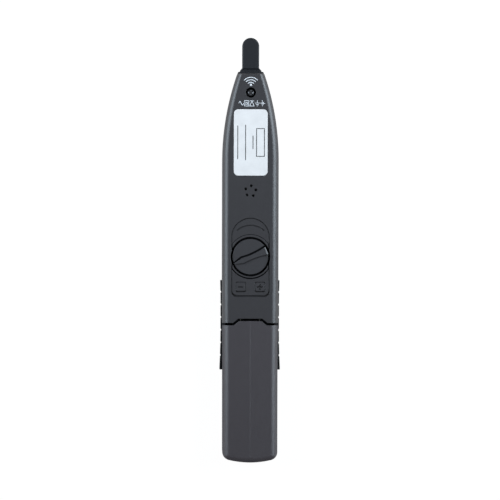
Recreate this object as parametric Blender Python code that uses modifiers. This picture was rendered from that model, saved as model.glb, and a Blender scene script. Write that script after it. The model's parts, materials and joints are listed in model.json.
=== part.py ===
"""Pen-shaped non-contact voltage tester, modelled at real size in metres.

The tester lies on its flat front face. +Z is its back face, +Y its sensor tip,
and the origin is on the floor under the middle of its box.
"""

import math

import bmesh
import bpy
from mathutils import Matrix, Vector

# Clearances
SEAT_GAP = 0.0003
SLIDE_GAP = 0.0003
PARTING_GAP = 0.0003
COVER_LINE_GAP = 0.0006
TURN_GAP = 0.0006

# Battery cells and their contacts
CELL_DIAMETER = 0.0105
CELL_LENGTH = 0.0445
CELL_SPACING = 0.0002
CELL_NUB_DIAMETER = 0.0038
CELL_NUB_HEIGHT = 0.0010
CELL_EDGE_ROUND = 0.0004
CONTACT_THICKNESS = 0.0004
CONTACT_WIDTH = 0.0084
CONTACT_TAB_WIDTH = 0.0026
SPRING_LENGTH = 0.0055
SPRING_BASE_RADIUS = 0.0032
SPRING_TOP_RADIUS = 0.0022
SPRING_WIRE = 0.00055
SPRING_TURNS = 4

# Housing walls and edges
SIDE_WALL = 0.0014
FACE_WALL = 0.0016
BODY_DEPTH = 0.0200
BODY_EXTRA_WIDTH = 0.0006
BACK_CHAMFER = 0.0024
CHAMFER_BLEND = 0.0008
FRONT_ROUND = 0.0030
TAIL_ARC_RADIUS = 0.0420
TAIL_CORNER_RADIUS = 0.0034
NOSE_LENGTH = 0.0389
NOSE_END_WIDTH = 0.0120
NOSE_SHOULDER_RADIUS = 0.0010
NOSE_FRONT_LENGTH = 0.0459
NOSE_FRONT_RISE = 0.0050

# Inside of the housing
BULKHEAD_THICKNESS = 0.0015
CRADLE_FLOOR = 0.0009
CRADLE_THICKNESS = 0.0012
CRADLE_RISE = 0.0030
CRADLE_COUNT = 3
SCREW_BOSS_DIAMETER = 0.0052
SCREW_POST_DIAMETER = 0.0064
BOARD_POST_DIAMETER = 0.0030
BRACKET_WIDTH = 0.0068
BRACKET_THICKNESS = 0.0016

# Places along the back, each measured from the one before it
SCREW_TO_COVER_LINE = 0.0019
COVER_LINE_TO_PANEL = 0.0124
PANEL_LENGTH = 0.0350
PANEL_TO_DIAL = 0.0177
PANEL_TO_SOUND = 0.0120
SOUND_TO_LABEL = 0.0069
LABEL_LENGTH = 0.0298
LABEL_TO_SCREW = 0.0073
SCREW_TO_NOSE_END = 0.0087

# Battery cover
TONGUE_LENGTH = 0.0019
TONGUE_TOP_WIDTH = 0.0104
TONGUE_BASE_WIDTH = 0.0150
COVER_RIB_THICKNESS = 0.0012
COVER_RIB_LENGTH = 0.0400
COVER_HOOK_WIDTH = 0.0036
COVER_HOOK_THICKNESS = 0.0016
COVER_HOOK_REACH = 0.0030

# Dial, its panel and the pot that it turns
PANEL_WIDTH = 0.0171
PANEL_DEPTH = 0.0004
PANEL_CORNER_RADIUS = 0.0024
RING_DIAMETER = 0.0196
RING_DEPTH = 0.0004
RING_BULGE = 0.0003
DIAL_DIAMETER = 0.0160
DIAL_DISC_THICKNESS = 0.0020
DIAL_POCKET_DEPTH = 0.0026
DIAL_WELL_WALL = 0.0012
DIAL_WELL_FLOOR = 0.0013
DIAL_HUB_DIAMETER = 0.0060
DIAL_HUB_LENGTH = 0.0012
DIAL_EDGE_ROUND = 0.0003
DIAL_REST_ANGLE = 201.3
RIDGE_HEIGHT = 0.0010
RIDGE_LENGTH = 0.0156
RIDGE_WAIST = 0.0024
RIDGE_BLUNT_WIDTH = 0.0043
RIDGE_HEAD_WIDTH = 0.0032
RIDGE_HEAD_LENGTH = 0.0036
RIDGE_TIP_WIDTH = 0.0006
POT_WIDTH = 0.0096
POT_HEIGHT = 0.0028
POT_SHAFT_DIAMETER = 0.0030
POT_SHAFT_GRIP = 0.0007
POT_BORE_FLOOR = 0.0006

# Sound holes, label and screws
SOUND_HOLE_COUNT = 5
SOUND_HOLE_DIAMETER = 0.00115
SOUND_RING_RADIUS = 0.00237
SOUND_RING_TURN = 85.0
LABEL_WIDTH = 0.0151
LABEL_THICKNESS = 0.0002
LABEL_CORNER_RADIUS = 0.0020
LABEL_EDGE_GAP = 0.0002
SCREW_HEAD_DIAMETER = 0.0036
SCREW_HEAD_HEIGHT = 0.0014
SCREW_CROWN_DIAMETER = 0.0027
SCREW_RIM_HEIGHT = 0.0008
SCREW_SHANK_DIAMETER = 0.0020
SCREW_LENGTH = 0.0085
SCREW_SLOT_WIDTH = 0.0006
SCREW_SLOT_LENGTH = 0.0022
SCREW_SLOT_DEPTH = 0.0007
SCREW_WELL_DIAMETER = 0.0044
SCREW_WELL_DEPTH = 0.0028
SCREW_HOLE_GAP = 0.0003

# Sensor tip and its plate
TIP_REACH = 0.0161
TIP_WIDTH = 0.0074
TIP_THICKNESS = 0.0050
TIP_EDGE_ROUND = 0.0010
COLLAR_LENGTH = 0.0015
COLLAR_TOP_WIDTH = 0.0084
COLLAR_BASE_WIDTH = 0.0114
COLLAR_TOP_THICKNESS = 0.0060
COLLAR_BASE_THICKNESS = 0.0082
TIP_ROOT_WIDTH = 0.0090
TIP_ROOT_THICKNESS = 0.0070
TIP_ROOT_LENGTH = 0.0012
PLATE_THICKNESS = 0.0005
PLATE_WIDTH = 0.0088
PLATE_TONGUE_WIDTH = 0.0044
PLATE_OVERLAP = 0.0030
PLATE_SHORT_OF_TIP = 0.0040

# Circuit board and what it carries
BOARD_THICKNESS = 0.0016
BOARD_EDGE_GAP = 0.0006
BOARD_END_GAP = 0.0006
BUZZER_DIAMETER = 0.0120
BUZZER_HEIGHT = 0.0050
BUZZER_PORT_DIAMETER = 0.0020
BUZZER_EDGE_ROUND = 0.0003
CHIP_LENGTH = 0.0086
CHIP_WIDTH = 0.0039
CHIP_HEIGHT = 0.0015
CAPACITOR_DIAMETER = 0.0050
CAPACITOR_HEIGHT = 0.0046
CAPACITOR_EDGE_ROUND = 0.0004
LED_DIAMETER = 0.0030
LED_FLANGE_DIAMETER = 0.0038
LED_FLANGE_HEIGHT = 0.0010
SWITCH_WIDTH = 0.0060
SWITCH_HEIGHT = 0.0034
PLUNGER_DIAMETER = 0.0034
PLUNGER_REACH = 0.0010
PLUNGER_SEAT = 0.0010

# Power button and indicator lens on the front
DIAL_TO_BUTTON = 0.0160
BUTTON_LENGTH = 0.0120
BUTTON_WIDTH = 0.0070
BUTTON_SUNK = 0.0004
BUTTON_FLANGE = 0.0010
BUTTON_FLANGE_THICKNESS = 0.0010
BUTTON_STEM_DIAMETER = 0.0032
BUTTON_TRAVEL = 0.0005
SOUND_TO_LENS = 0.0248
LENS_LENGTH = 0.0080
LENS_WIDTH = 0.0044
LENS_FLANGE = 0.0008
LENS_FLANGE_THICKNESS = 0.0008

# Side grips
GRIP_LENGTH = 0.0399
GRIP_LIFT = 0.0006
GRIP_HEIGHT = 0.0054
GRIP_STAND_OFF = 0.0004
GRIP_SINK = 0.0007
GRIP_RIB_COUNT = 7
GRIP_NOTCH_DEPTH = 0.0002
GRIP_NOTCH_WIDTH = 0.0007
GRIP_FLARE = 0.0006
GRIP_FLARE_LENGTH = 0.0180
GRIP_TOP_SWELL = 0.0002
GRIP_SWELL_LENGTH = 0.0080

# Facet counts
ROUND_STEPS = 24
SMALL_ROUND_STEPS = 16
CORNER_STEPS = 4
EDGE_STEPS = 3
BOARD_STEPS = 4
NOSE_STEPS = 10
TAIL_STEPS = 4
SPRING_POINTS_PER_TURN = 10

# How far a cutter runs past what it cuts, and an inner wall into the wall that it joins
CUT_PAST = 0.0010
WALL_EMBED = 0.0004

# Edges sharper than this stay sharp, and points closer than this are one point
SHARP_ANGLE = math.radians(40)
MERGE_DISTANCE = 0.000001

# Sizes that follow from the ones above
CELL_X = (CELL_DIAMETER + CELL_SPACING) / 2
TAIL_HALF = CELL_X + CELL_DIAMETER / 2 + SEAT_GAP + SIDE_WALL
BODY_HALF = TAIL_HALF + BODY_EXTRA_WIDTH / 2
SCREW_BOSS_RADIUS = SCREW_BOSS_DIAMETER / 2
CELL_Z = FACE_WALL + CRADLE_FLOOR + SEAT_GAP + CELL_DIAMETER / 2
CELL_TOP_Z = CELL_Z + CELL_DIAMETER / 2

# Places along the tester, measured from its tail
BRIDGE_FACE = SIDE_WALL + SEAT_GAP + BULKHEAD_THICKNESS
CELL_START = BRIDGE_FACE + 2 * SEAT_GAP + CONTACT_THICKNESS
CELL_END = CELL_START + CELL_LENGTH + SEAT_GAP + SPRING_LENGTH
CONTACT_FACE = CELL_END + SEAT_GAP
BULKHEAD_START = CONTACT_FACE + CONTACT_THICKNESS + SEAT_GAP
BULKHEAD_END = BULKHEAD_START + BULKHEAD_THICKNESS
BAY_SCREW = BULKHEAD_END + SEAT_GAP + SCREW_BOSS_RADIUS
COVER_LINE = BAY_SCREW + SCREW_TO_COVER_LINE
PANEL_START = COVER_LINE + COVER_LINE_TO_PANEL
PANEL_END = PANEL_START + PANEL_LENGTH
DIAL_PLACE = PANEL_START + PANEL_TO_DIAL
SOUND_PLACE = PANEL_END + PANEL_TO_SOUND
LABEL_START = SOUND_PLACE + SOUND_TO_LABEL
LABEL_END = LABEL_START + LABEL_LENGTH
NOSE_SCREW = LABEL_END + LABEL_TO_SCREW
NOSE_END = NOSE_SCREW + SCREW_TO_NOSE_END
TIP_END = NOSE_END + TIP_REACH
NOSE_START = NOSE_END - NOSE_LENGTH
NOSE_FRONT_START = NOSE_END - NOSE_FRONT_LENGTH
GRIP_START = COVER_LINE - GRIP_LENGTH / 2
GRIP_END = GRIP_START + GRIP_LENGTH
BUTTON_PLACE = DIAL_PLACE + DIAL_TO_BUTTON
LENS_PLACE = SOUND_PLACE + SOUND_TO_LENS
BOARD_START = BAY_SCREW + SCREW_BOSS_RADIUS + BOARD_END_GAP
BOARD_END = NOSE_SCREW - SCREW_BOSS_RADIUS - BOARD_END_GAP
TAIL_Y = -TIP_END / 2

# Heights, measured from the front face
PARTING_Z = BODY_DEPTH / 2
PANEL_Z = BODY_DEPTH - PANEL_DEPTH
RING_Z = PANEL_Z - RING_DEPTH
DIAL_FLOOR_Z = RING_Z - DIAL_POCKET_DEPTH
WELL_BASE_Z = DIAL_FLOOR_Z - DIAL_WELL_FLOOR
DISC_BASE_Z = DIAL_FLOOR_Z + SEAT_GAP
DISC_TOP_Z = DISC_BASE_Z + DIAL_DISC_THICKNESS
POT_TOP_Z = WELL_BASE_Z - SEAT_GAP
POT_BASE_Z = POT_TOP_Z - POT_HEIGHT
BOARD_TOP_Z = POT_BASE_Z - SEAT_GAP
BOARD_BASE_Z = BOARD_TOP_Z - BOARD_THICKNESS
ON_BOARD_Z = BOARD_TOP_Z + SEAT_GAP
UNDER_BOARD_Z = BOARD_BASE_Z - SEAT_GAP
PLATE_TOP_Z = ON_BOARD_Z + PLATE_THICKNESS
TIP_Z = ON_BOARD_Z + PLATE_THICKNESS / 2
TAB_TOP_Z = ON_BOARD_Z + CONTACT_THICKNESS
NOSE_BOSS_TOP_Z = PLATE_TOP_Z + SEAT_GAP
BAY_BOSS_TOP_Z = BOARD_TOP_Z
BRACKET_BASE_Z = BAY_BOSS_TOP_Z + SEAT_GAP
BRACKET_TOP_Z = BRACKET_BASE_Z + BRACKET_THICKNESS
NOSE_SCREW_Z = BODY_DEPTH - SCREW_WELL_DEPTH + SEAT_GAP
BAY_SCREW_Z = BRACKET_TOP_Z + SEAT_GAP
SWITCH_BASE_Z = UNDER_BOARD_Z - SWITCH_HEIGHT
PLUNGER_BASE_Z = SWITCH_BASE_Z - PLUNGER_REACH
GRIP_LOW_Z = FRONT_ROUND + GRIP_LIFT
GRIP_HIGH_Z = GRIP_LOW_Z + GRIP_HEIGHT
INNER_BACK_Z = BODY_DEPTH - FACE_WALL


def along(place):
    """World Y of a place measured from the tail."""
    return TAIL_Y + place


# Scene and collections
for old_object in list(bpy.data.objects):
    bpy.data.objects.remove(old_object)

PARTS = bpy.data.collections.new("voltage_tester")
CUTTERS = bpy.data.collections.new("voltage_tester_cutters")
bpy.context.scene.collection.children.link(PARTS)
bpy.context.scene.collection.children.link(CUTTERS)


def finish(name, colour, roughness, metallic=0.0):
    """A plain Principled material."""
    material = bpy.data.materials.new(name)
    material.use_nodes = True
    shader = material.node_tree.nodes["Principled BSDF"]
    shader.inputs["Base Color"].default_value = (*colour, 1.0)
    shader.inputs["Roughness"].default_value = roughness
    shader.inputs["Metallic"].default_value = metallic
    return material


def add_object(name, mesh, material=None):
    """A part when it has a material, or else a hidden cutter."""
    obj = bpy.data.objects.new(name, mesh)
    if material is None:
        CUTTERS.objects.link(obj)
        obj.hide_render = True
        obj.display_type = "WIRE"
    else:
        mesh.materials.append(material)
        PARTS.objects.link(obj)
    return obj


def from_bmesh(name, shape, material=None):
    """An object from a closed bmesh, with its faces turned outwards."""
    bmesh.ops.recalc_face_normals(shape, faces=shape.faces)
    mesh = bpy.data.meshes.new(name)
    shape.to_mesh(mesh)
    shape.free()
    return add_object(name, mesh, material)


def block(name, low, high, material=None):
    """A box between two corners."""
    shape = bmesh.new()
    bmesh.ops.create_cube(shape, size=1.0)
    size = Vector(high) - Vector(low)
    bmesh.ops.scale(shape, vec=size, verts=shape.verts)
    bmesh.ops.translate(shape, vec=(Vector(low) + Vector(high)) / 2, verts=shape.verts)
    return from_bmesh(name, shape, material)


def rod(name, diameter, centre, low, high, material=None, steps=SMALL_ROUND_STEPS):
    """An upright cylinder between two heights."""
    shape = bmesh.new()
    radius = diameter / 2
    bmesh.ops.create_cone(
        shape, cap_ends=True, segments=steps, radius1=radius, radius2=radius, depth=high - low
    )
    bmesh.ops.translate(shape, vec=(*centre, (low + high) / 2), verts=shape.verts)
    return from_bmesh(name, shape, material)


def turned(name, profile, material, steps=ROUND_STEPS):
    """A turned piece about its own Z axis, from a profile that runs top to bottom."""
    shape = bmesh.new()
    points = [shape.verts.new((radius, 0.0, height)) for radius, height in profile]
    for upper, lower in zip(points, points[1:]):
        shape.edges.new((upper, lower))
    mesh = bpy.data.meshes.new(name)
    shape.to_mesh(mesh)
    shape.free()
    obj = add_object(name, mesh, material)
    spin = obj.modifiers.new("Turn", "SCREW")
    spin.steps = steps
    spin.render_steps = steps
    spin.use_merge_vertices = True
    spin.merge_threshold = MERGE_DISTANCE
    spin.use_smooth_shade = True
    return obj


def slab(name, outlines, low, high, material=None):
    """A flat outline, with any holes in it, given its thickness and made a mesh."""
    curve = bpy.data.curves.new(name, "CURVE")
    curve.dimensions = "2D"
    curve.fill_mode = "BOTH"
    curve.extrude = (high - low) / 2
    for outline in outlines:
        spline = curve.splines.new("POLY")
        spline.points.add(len(outline) - 1)
        for point, (x, y) in zip(spline.points, outline):
            point.co = (x, y, 0.0, 1.0)
        spline.use_cyclic_u = True
    drawn = bpy.data.objects.new(name + "_outline", curve)
    CUTTERS.objects.link(drawn)
    drawn.location.z = (low + high) / 2
    bpy.context.view_layer.update()
    evaluated = drawn.evaluated_get(bpy.context.evaluated_depsgraph_get())
    mesh = bpy.data.meshes.new_from_object(evaluated)
    shape = bmesh.new()
    shape.from_mesh(mesh)
    bmesh.ops.transform(shape, matrix=drawn.matrix_world, verts=shape.verts)
    bmesh.ops.remove_doubles(shape, verts=shape.verts, dist=MERGE_DISTANCE)
    bpy.data.objects.remove(drawn)
    bpy.data.meshes.remove(mesh)
    return from_bmesh(name, shape, material)


def cross_slab(name, outline, half):
    """An outline in Y and Z, given its width along X."""
    piece = slab(name, [outline], -half, half)
    stand_up = Matrix(((0, 0, 1, 0), (1, 0, 0, 0), (0, 1, 0, 0), (0, 0, 0, 1)))
    piece.data.transform(stand_up)
    return piece


def boolean(target, tool, operation):
    """Cut, join or intersect one object with another."""
    modifier = target.modifiers.new(tool.name, "BOOLEAN")
    modifier.operation = operation
    modifier.solver = "EXACT"
    modifier.object = tool


def cut(target, *tools):
    for tool in tools:
        boolean(target, tool, "DIFFERENCE")


def join(target, *tools):
    for tool in tools:
        boolean(target, tool, "UNION")


def round_edges(obj, width, segments):
    """A Bevel on the sharp edges only."""
    modifier = obj.modifiers.new("Round", "BEVEL")
    modifier.width = width
    modifier.segments = segments
    modifier.limit_method = "ANGLE"
    modifier.angle_limit = SHARP_ANGLE


def shade_round(obj):
    """Smooth shading that keeps the sharp corners."""
    obj.data.shade_smooth()
    obj.data.set_sharp_from_angle(angle=SHARP_ANGLE)


def arc(centre, radius, start, stop, steps):
    """Points on an arc, angles in degrees."""
    points = []
    for step in range(steps + 1):
        angle = math.radians(start + (stop - start) * step / steps)
        points.append((centre[0] + radius * math.cos(angle), centre[1] + radius * math.sin(angle)))
    return points


def rounded_rectangle(centre, width, length, radius):
    """Outline of a rectangle with rounded corners."""
    across = width / 2 - radius
    up = length / 2 - radius
    points = []
    for turn, (side, end) in enumerate([(1, 1), (-1, 1), (-1, -1), (1, -1)]):
        corner = (centre[0] + side * across, centre[1] + end * up)
        points += arc(corner, radius, 90 * turn, 90 * turn + 90, CORNER_STEPS)
    return points


def oval(centre, width, length):
    """Outline with straight sides along Y and round ends."""
    reach = (length - width) / 2
    upper = arc((centre[0], centre[1] + reach), width / 2, 0, 180, 2 * CORNER_STEPS)
    lower = arc((centre[0], centre[1] - reach), width / 2, 180, 360, 2 * CORNER_STEPS)
    return upper + lower


# Housing form, shared by the two shells and the battery cover
def nose_arc():
    """Centre and radius of the arc that draws each side of the nose in."""
    drop = BODY_HALF - NOSE_END_WIDTH / 2
    radius = (NOSE_LENGTH ** 2 + drop ** 2) / (2 * drop)
    return (BODY_HALF - radius, along(NOSE_START)), radius


def half_width(place):
    """Half the housing's width at a place along the straight sides or the nose."""
    if place <= NOSE_START:
        share = min(max((place - GRIP_START) / GRIP_LENGTH, 0.0), 1.0)
        return TAIL_HALF + (BODY_HALF - TAIL_HALF) * share
    centre, radius = nose_arc()
    return centre[0] + math.sqrt(radius ** 2 - (along(place) - centre[1]) ** 2)


def half_outline(inset):
    """The housing's right half seen from the back, drawn in by an inset.

    It starts in the middle of the tail and ends at the nose shoulder.
    """
    side = TAIL_HALF - inset
    corner_radius = max(TAIL_CORNER_RADIUS - inset, SEAT_GAP)
    tail_centre = (0.0, TAIL_Y + TAIL_ARC_RADIUS)
    tail_radius = TAIL_ARC_RADIUS - inset
    corner_x = side - corner_radius
    corner_y = tail_centre[1] - math.sqrt((tail_radius - corner_radius) ** 2 - corner_x ** 2)
    lean = math.degrees(math.asin(corner_x / (tail_radius - corner_radius)))
    points = arc(tail_centre, tail_radius, 270, 270 + lean, TAIL_STEPS)
    points += arc((corner_x, corner_y), corner_radius, 270 + lean, 360, CORNER_STEPS)[1:]
    points.append((TAIL_HALF - inset, along(GRIP_START)))
    points.append((BODY_HALF - inset, along(GRIP_END)))
    points.append((BODY_HALF - inset, along(NOSE_FRONT_START)))
    centre, radius = nose_arc()
    end_y = along(NOSE_END) - inset
    shoulder_radius = max(NOSE_SHOULDER_RADIUS - inset, SEAT_GAP)
    shoulder_y = end_y - shoulder_radius
    rise = shoulder_y - centre[1]
    run = math.sqrt((radius - inset - shoulder_radius) ** 2 - rise ** 2)
    turn = math.degrees(math.atan2(rise, run))
    points += arc(centre, radius - inset, 0, turn, NOSE_STEPS)
    shoulder = (centre[0] + run, shoulder_y)
    points += arc(shoulder, shoulder_radius, turn, 90, CORNER_STEPS)[1:]
    return points


def front_level(y):
    """Height of the front face, which rises along the nose."""
    share = max(y - along(NOSE_FRONT_START), 0.0) / NOSE_FRONT_LENGTH
    return NOSE_FRONT_RISE * share ** 2


def front_layers(side_inset, face_inset):
    """Inset and height of each layer of the rounded front edge."""
    radius = max(FRONT_ROUND - side_inset, SEAT_GAP)
    layers = []
    for step in range(CORNER_STEPS + 1):
        angle = math.pi / 2 * step / CORNER_STEPS
        inset = side_inset + radius * (1 - math.sin(angle))
        layers.append((inset, face_inset + radius * (1 - math.cos(angle))))
    return layers


def back_layers(side_inset, face_inset):
    """Inset and depth of each layer of the chamfered back edge, with its ends eased."""
    chamfer = BACK_CHAMFER - side_inset * (2 - math.sqrt(2))
    ease = min(CHAMFER_BLEND, chamfer / 2)
    lean = ease / math.sqrt(2)
    low = [(0.0, chamfer + ease), (0.0, chamfer), (lean, chamfer - lean)]
    high = [(chamfer - lean, lean), (chamfer, 0.0), (chamfer + ease, 0.0)]
    layers = []
    for start, corner, stop in (low, high):
        for share in (0.0, 0.5, 1.0):
            first = Vector(start).lerp(Vector(corner), share)
            second = Vector(corner).lerp(Vector(stop), share)
            inset, depth = first.lerp(second, share)
            layers.append((side_inset + inset, face_inset + depth))
    return layers


def housing_form(name, side_inset, face_inset, material=None):
    """A loft of plan outlines from the front face to the back face."""
    rings = []
    for inset, height in front_layers(side_inset, face_inset):
        rings.append([(x, y, front_level(y) + height) for x, y in half_outline(inset)])
    for inset, depth in back_layers(side_inset, face_inset):
        rings.append([(x, y, BODY_DEPTH - depth) for x, y in half_outline(inset)])
    shape = bmesh.new()
    loops = []
    for ring in rings:
        mirrored = [(-x, y, z) for x, y, z in reversed(ring[1:])]
        loops.append([shape.verts.new(point) for point in ring + mirrored])
    for lower, upper in zip(loops, loops[1:]):
        for index in range(len(lower)):
            shape.faces.new((lower[index - 1], lower[index], upper[index], upper[index - 1]))
    for loop in (loops[0], loops[-1]):
        for index in range(len(rings[0]) - 1):
            corners = [loop[index], loop[index + 1], loop[-index - 1], loop[-index]]
            shape.faces.new(dict.fromkeys(corners))
    return from_bmesh(name, shape, material)


def cover_cut_line(shift):
    """The line between the rear shell and the battery cover, left to right."""
    base_y = along(COVER_LINE) + shift
    top_y = base_y + TONGUE_LENGTH
    past = BODY_HALF + CUT_PAST
    right = [(TONGUE_TOP_WIDTH / 2 + shift, top_y), (TONGUE_BASE_WIDTH / 2 + shift, base_y), (past, base_y)]
    left = [(-x, y) for x, y in reversed(right)]
    return left + right


housing_plastic = finish("housing_plastic", (0.050, 0.051, 0.059), 0.45)
cover_plastic = finish("cover_plastic", (0.056, 0.055, 0.064), 0.45)
black_rubber = finish("black_rubber", (0.012, 0.012, 0.014), 0.75)
tip_plastic = finish("tip_plastic", (0.028, 0.030, 0.038), 0.40)
dial_plastic = finish("dial_plastic", (0.058, 0.060, 0.070), 0.42)
label_film = finish("label_film", (0.80, 0.83, 0.88), 0.35)
screw_steel = finish("screw_steel", (0.10, 0.10, 0.11), 0.40, 1.0)
board_laminate = finish("board_laminate", (0.02, 0.16, 0.06), 0.45)
component_black = finish("component_black", (0.02, 0.02, 0.022), 0.50)
component_metal = finish("component_metal", (0.62, 0.62, 0.60), 0.30, 1.0)
sensor_brass = finish("sensor_brass", (0.72, 0.52, 0.20), 0.30, 1.0)
contact_steel = finish("contact_steel", (0.66, 0.66, 0.64), 0.28, 1.0)
cell_jacket = finish("cell_jacket", (0.10, 0.16, 0.30), 0.35)
button_rubber = finish("button_rubber", (0.35, 0.05, 0.03), 0.55)
lens_acrylic = finish("lens_acrylic", (0.60, 0.10, 0.08), 0.12)
led_epoxy = finish("led_epoxy", (0.75, 0.10, 0.08), 0.15)

housing_cavity = housing_form("housing_cavity", SIDE_WALL, FACE_WALL)
housing_core = housing_form("housing_core", SIDE_WALL - WALL_EMBED, FACE_WALL - WALL_EMBED)


def tip_opening(name):
    """The slot in the nose that the sensor tip's neck passes through."""
    across = TIP_WIDTH / 2 + SEAT_GAP
    up = TIP_THICKNESS / 2 + SEAT_GAP
    low = (-across, along(NOSE_END - FACE_WALL - CUT_PAST), TIP_Z - up)
    return block(name, low, (across, along(TIP_END), TIP_Z + up))


def inner_wall(name, start, stop, top):
    """A wall across the inside of the housing, trimmed to run into its walls."""
    wall = block(name, (-BODY_HALF, along(start), 0.0), (BODY_HALF, along(stop), top))
    boolean(wall, housing_core, "INTERSECT")
    return wall


def battery_cradle(name, place):
    """A cross rib with two round seats for the cells."""
    half = CRADLE_THICKNESS / 2
    top = CELL_Z - CELL_DIAMETER / 2 + CRADLE_RISE
    rib = inner_wall(name, place - half, place + half, top)
    for side in (-1, 1):
        seat = bmesh.new()
        radius = CELL_DIAMETER / 2 + SEAT_GAP
        depth = CRADLE_THICKNESS + 2 * CUT_PAST
        bmesh.ops.create_cone(
            seat, cap_ends=True, segments=ROUND_STEPS, radius1=radius, radius2=radius, depth=depth
        )
        bmesh.ops.rotate(seat, matrix=Matrix.Rotation(math.pi / 2, 3, "X"), verts=seat.verts)
        bmesh.ops.translate(seat, vec=(side * CELL_X, along(place), CELL_Z), verts=seat.verts)
        cut(rib, from_bmesh(f"{name}_seat_{side}", seat))
    return rib


def front_shell():
    """Front half of the housing, with its bulkheads, cradles, bosses and posts."""
    shell = housing_form("front_shell", 0.0, 0.0, housing_plastic)
    past = BODY_HALF + CUT_PAST
    low = (-past, TAIL_Y - CUT_PAST, PARTING_Z - PARTING_GAP / 2)
    cut(shell, housing_cavity, block("above_parting", low, (past, -TAIL_Y, BODY_DEPTH + CUT_PAST)))
    rim = PARTING_Z - PARTING_GAP
    floor = FACE_WALL - WALL_EMBED
    join(shell, inner_wall("tail_bulkhead", 0.0, BRIDGE_FACE, rim))
    stub = CELL_X + CONTACT_TAB_WIDTH / 2
    end_radius = TAIL_ARC_RADIUS - SIDE_WALL
    stub_start = SIDE_WALL + end_radius - math.sqrt(end_radius ** 2 - stub ** 2) + SLIDE_GAP
    stub_low = (-stub, along(stub_start), rim - BULKHEAD_THICKNESS)
    join(shell, block("tail_stub", stub_low, (stub, along(BRIDGE_FACE - WALL_EMBED), ON_BOARD_Z)))
    join(shell, inner_wall("bay_bulkhead", BULKHEAD_START, BULKHEAD_END, rim))
    for number in range(CRADLE_COUNT):
        place = CELL_START + (CELL_END - CELL_START) * (number + 1) / (CRADLE_COUNT + 1)
        join(shell, battery_cradle(f"battery_cradle_{number + 1}", place))
    for name, place, top in (
        ("bay_screw_boss", BAY_SCREW, BAY_BOSS_TOP_Z),
        ("nose_screw_boss", NOSE_SCREW, NOSE_BOSS_TOP_Z),
    ):
        base = front_level(along(place)) + floor
        join(shell, rod(name, SCREW_BOSS_DIAMETER, (0.0, along(place)), base, top))
        hole = SCREW_SHANK_DIAMETER + 2 * SCREW_HOLE_GAP
        cut(shell, rod(name + "_hole", hole, (0.0, along(place)), base + FACE_WALL, top + CUT_PAST))
    for number, (side, place) in enumerate(board_post_places()):
        x = side * (half_width(place) - SIDE_WALL - BOARD_EDGE_GAP - BOARD_POST_DIAMETER / 2)
        name = f"board_post_{number + 1}"
        join(shell, rod(name, BOARD_POST_DIAMETER, (x, along(place)), floor, UNDER_BOARD_Z))
    gap = 2 * SLIDE_GAP
    button_hole = oval((0.0, along(BUTTON_PLACE)), BUTTON_WIDTH + gap, BUTTON_LENGTH + gap)
    cut(shell, slab("button_hole", [button_hole], -CUT_PAST, FACE_WALL + CUT_PAST))
    gap = 2 * SEAT_GAP
    lens_hole = oval((0.0, along(LENS_PLACE)), LENS_WIDTH + gap, LENS_LENGTH + gap)
    cut(shell, slab("lens_hole", [lens_hole], -CUT_PAST, lens_flange_base() + CUT_PAST))
    for side in (-1, 1):
        inner = side * (TAIL_HALF - GRIP_SINK)
        outer = side * (BODY_HALF + CUT_PAST)
        low = (min(inner, outer), along(GRIP_START - SEAT_GAP), GRIP_LOW_Z - SEAT_GAP)
        high = (max(inner, outer), along(GRIP_END + SEAT_GAP), GRIP_HIGH_Z + SEAT_GAP)
        cut(shell, block(f"grip_recess_{side}", low, high))
    cut(shell, tip_opening("front_tip_opening"))
    shade_round(shell)


def board_post_places():
    """Side and place of each post that the board rests on."""
    near = BOARD_START + BOARD_POST_DIAMETER
    far = NOSE_START - BOARD_POST_DIAMETER
    return [(side, place) for place in (near, far) for side in (-1, 1)]


def dial_panel(shell):
    """The sunk panel round the dial, the ring round it and the dial's well."""
    radius = PANEL_WIDTH / 2
    low_corner = along(PANEL_START) + PANEL_CORNER_RADIUS
    across = radius - PANEL_CORNER_RADIUS
    outline = arc((0.0, along(PANEL_END) - radius), radius, 0, 180, ROUND_STEPS)
    outline += arc((-across, low_corner), PANEL_CORNER_RADIUS, 180, 270, CORNER_STEPS)
    outline += arc((across, low_corner), PANEL_CORNER_RADIUS, 270, 360, CORNER_STEPS)
    top = BODY_DEPTH + CUT_PAST
    centre = (0.0, along(DIAL_PLACE))
    limit = radius + RING_BULGE
    circle = arc(centre, RING_DIAMETER / 2, 0, 360, 2 * ROUND_STEPS)[:-1]
    ring = [(min(max(x, -limit), limit), y) for x, y in circle]
    pocket = DIAL_DIAMETER + 2 * TURN_GAP
    well = pocket + 2 * DIAL_WELL_WALL
    hub_hole = DIAL_HUB_DIAMETER + 2 * SLIDE_GAP
    well_top = INNER_BACK_Z + (RING_Z - INNER_BACK_Z) / 2
    join(shell, rod("dial_well", well, centre, WELL_BASE_Z, well_top, steps=2 * ROUND_STEPS))
    cut(shell, slab("panel_recess", [outline], PANEL_Z, top))
    cut(shell, slab("ring_recess", [ring], RING_Z, top))
    cut(shell, rod("dial_pocket", pocket, centre, DIAL_FLOOR_Z, top, steps=2 * ROUND_STEPS))
    cut(shell, rod("hub_hole", hub_hole, centre, WELL_BASE_Z - CUT_PAST, RING_Z))


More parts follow.
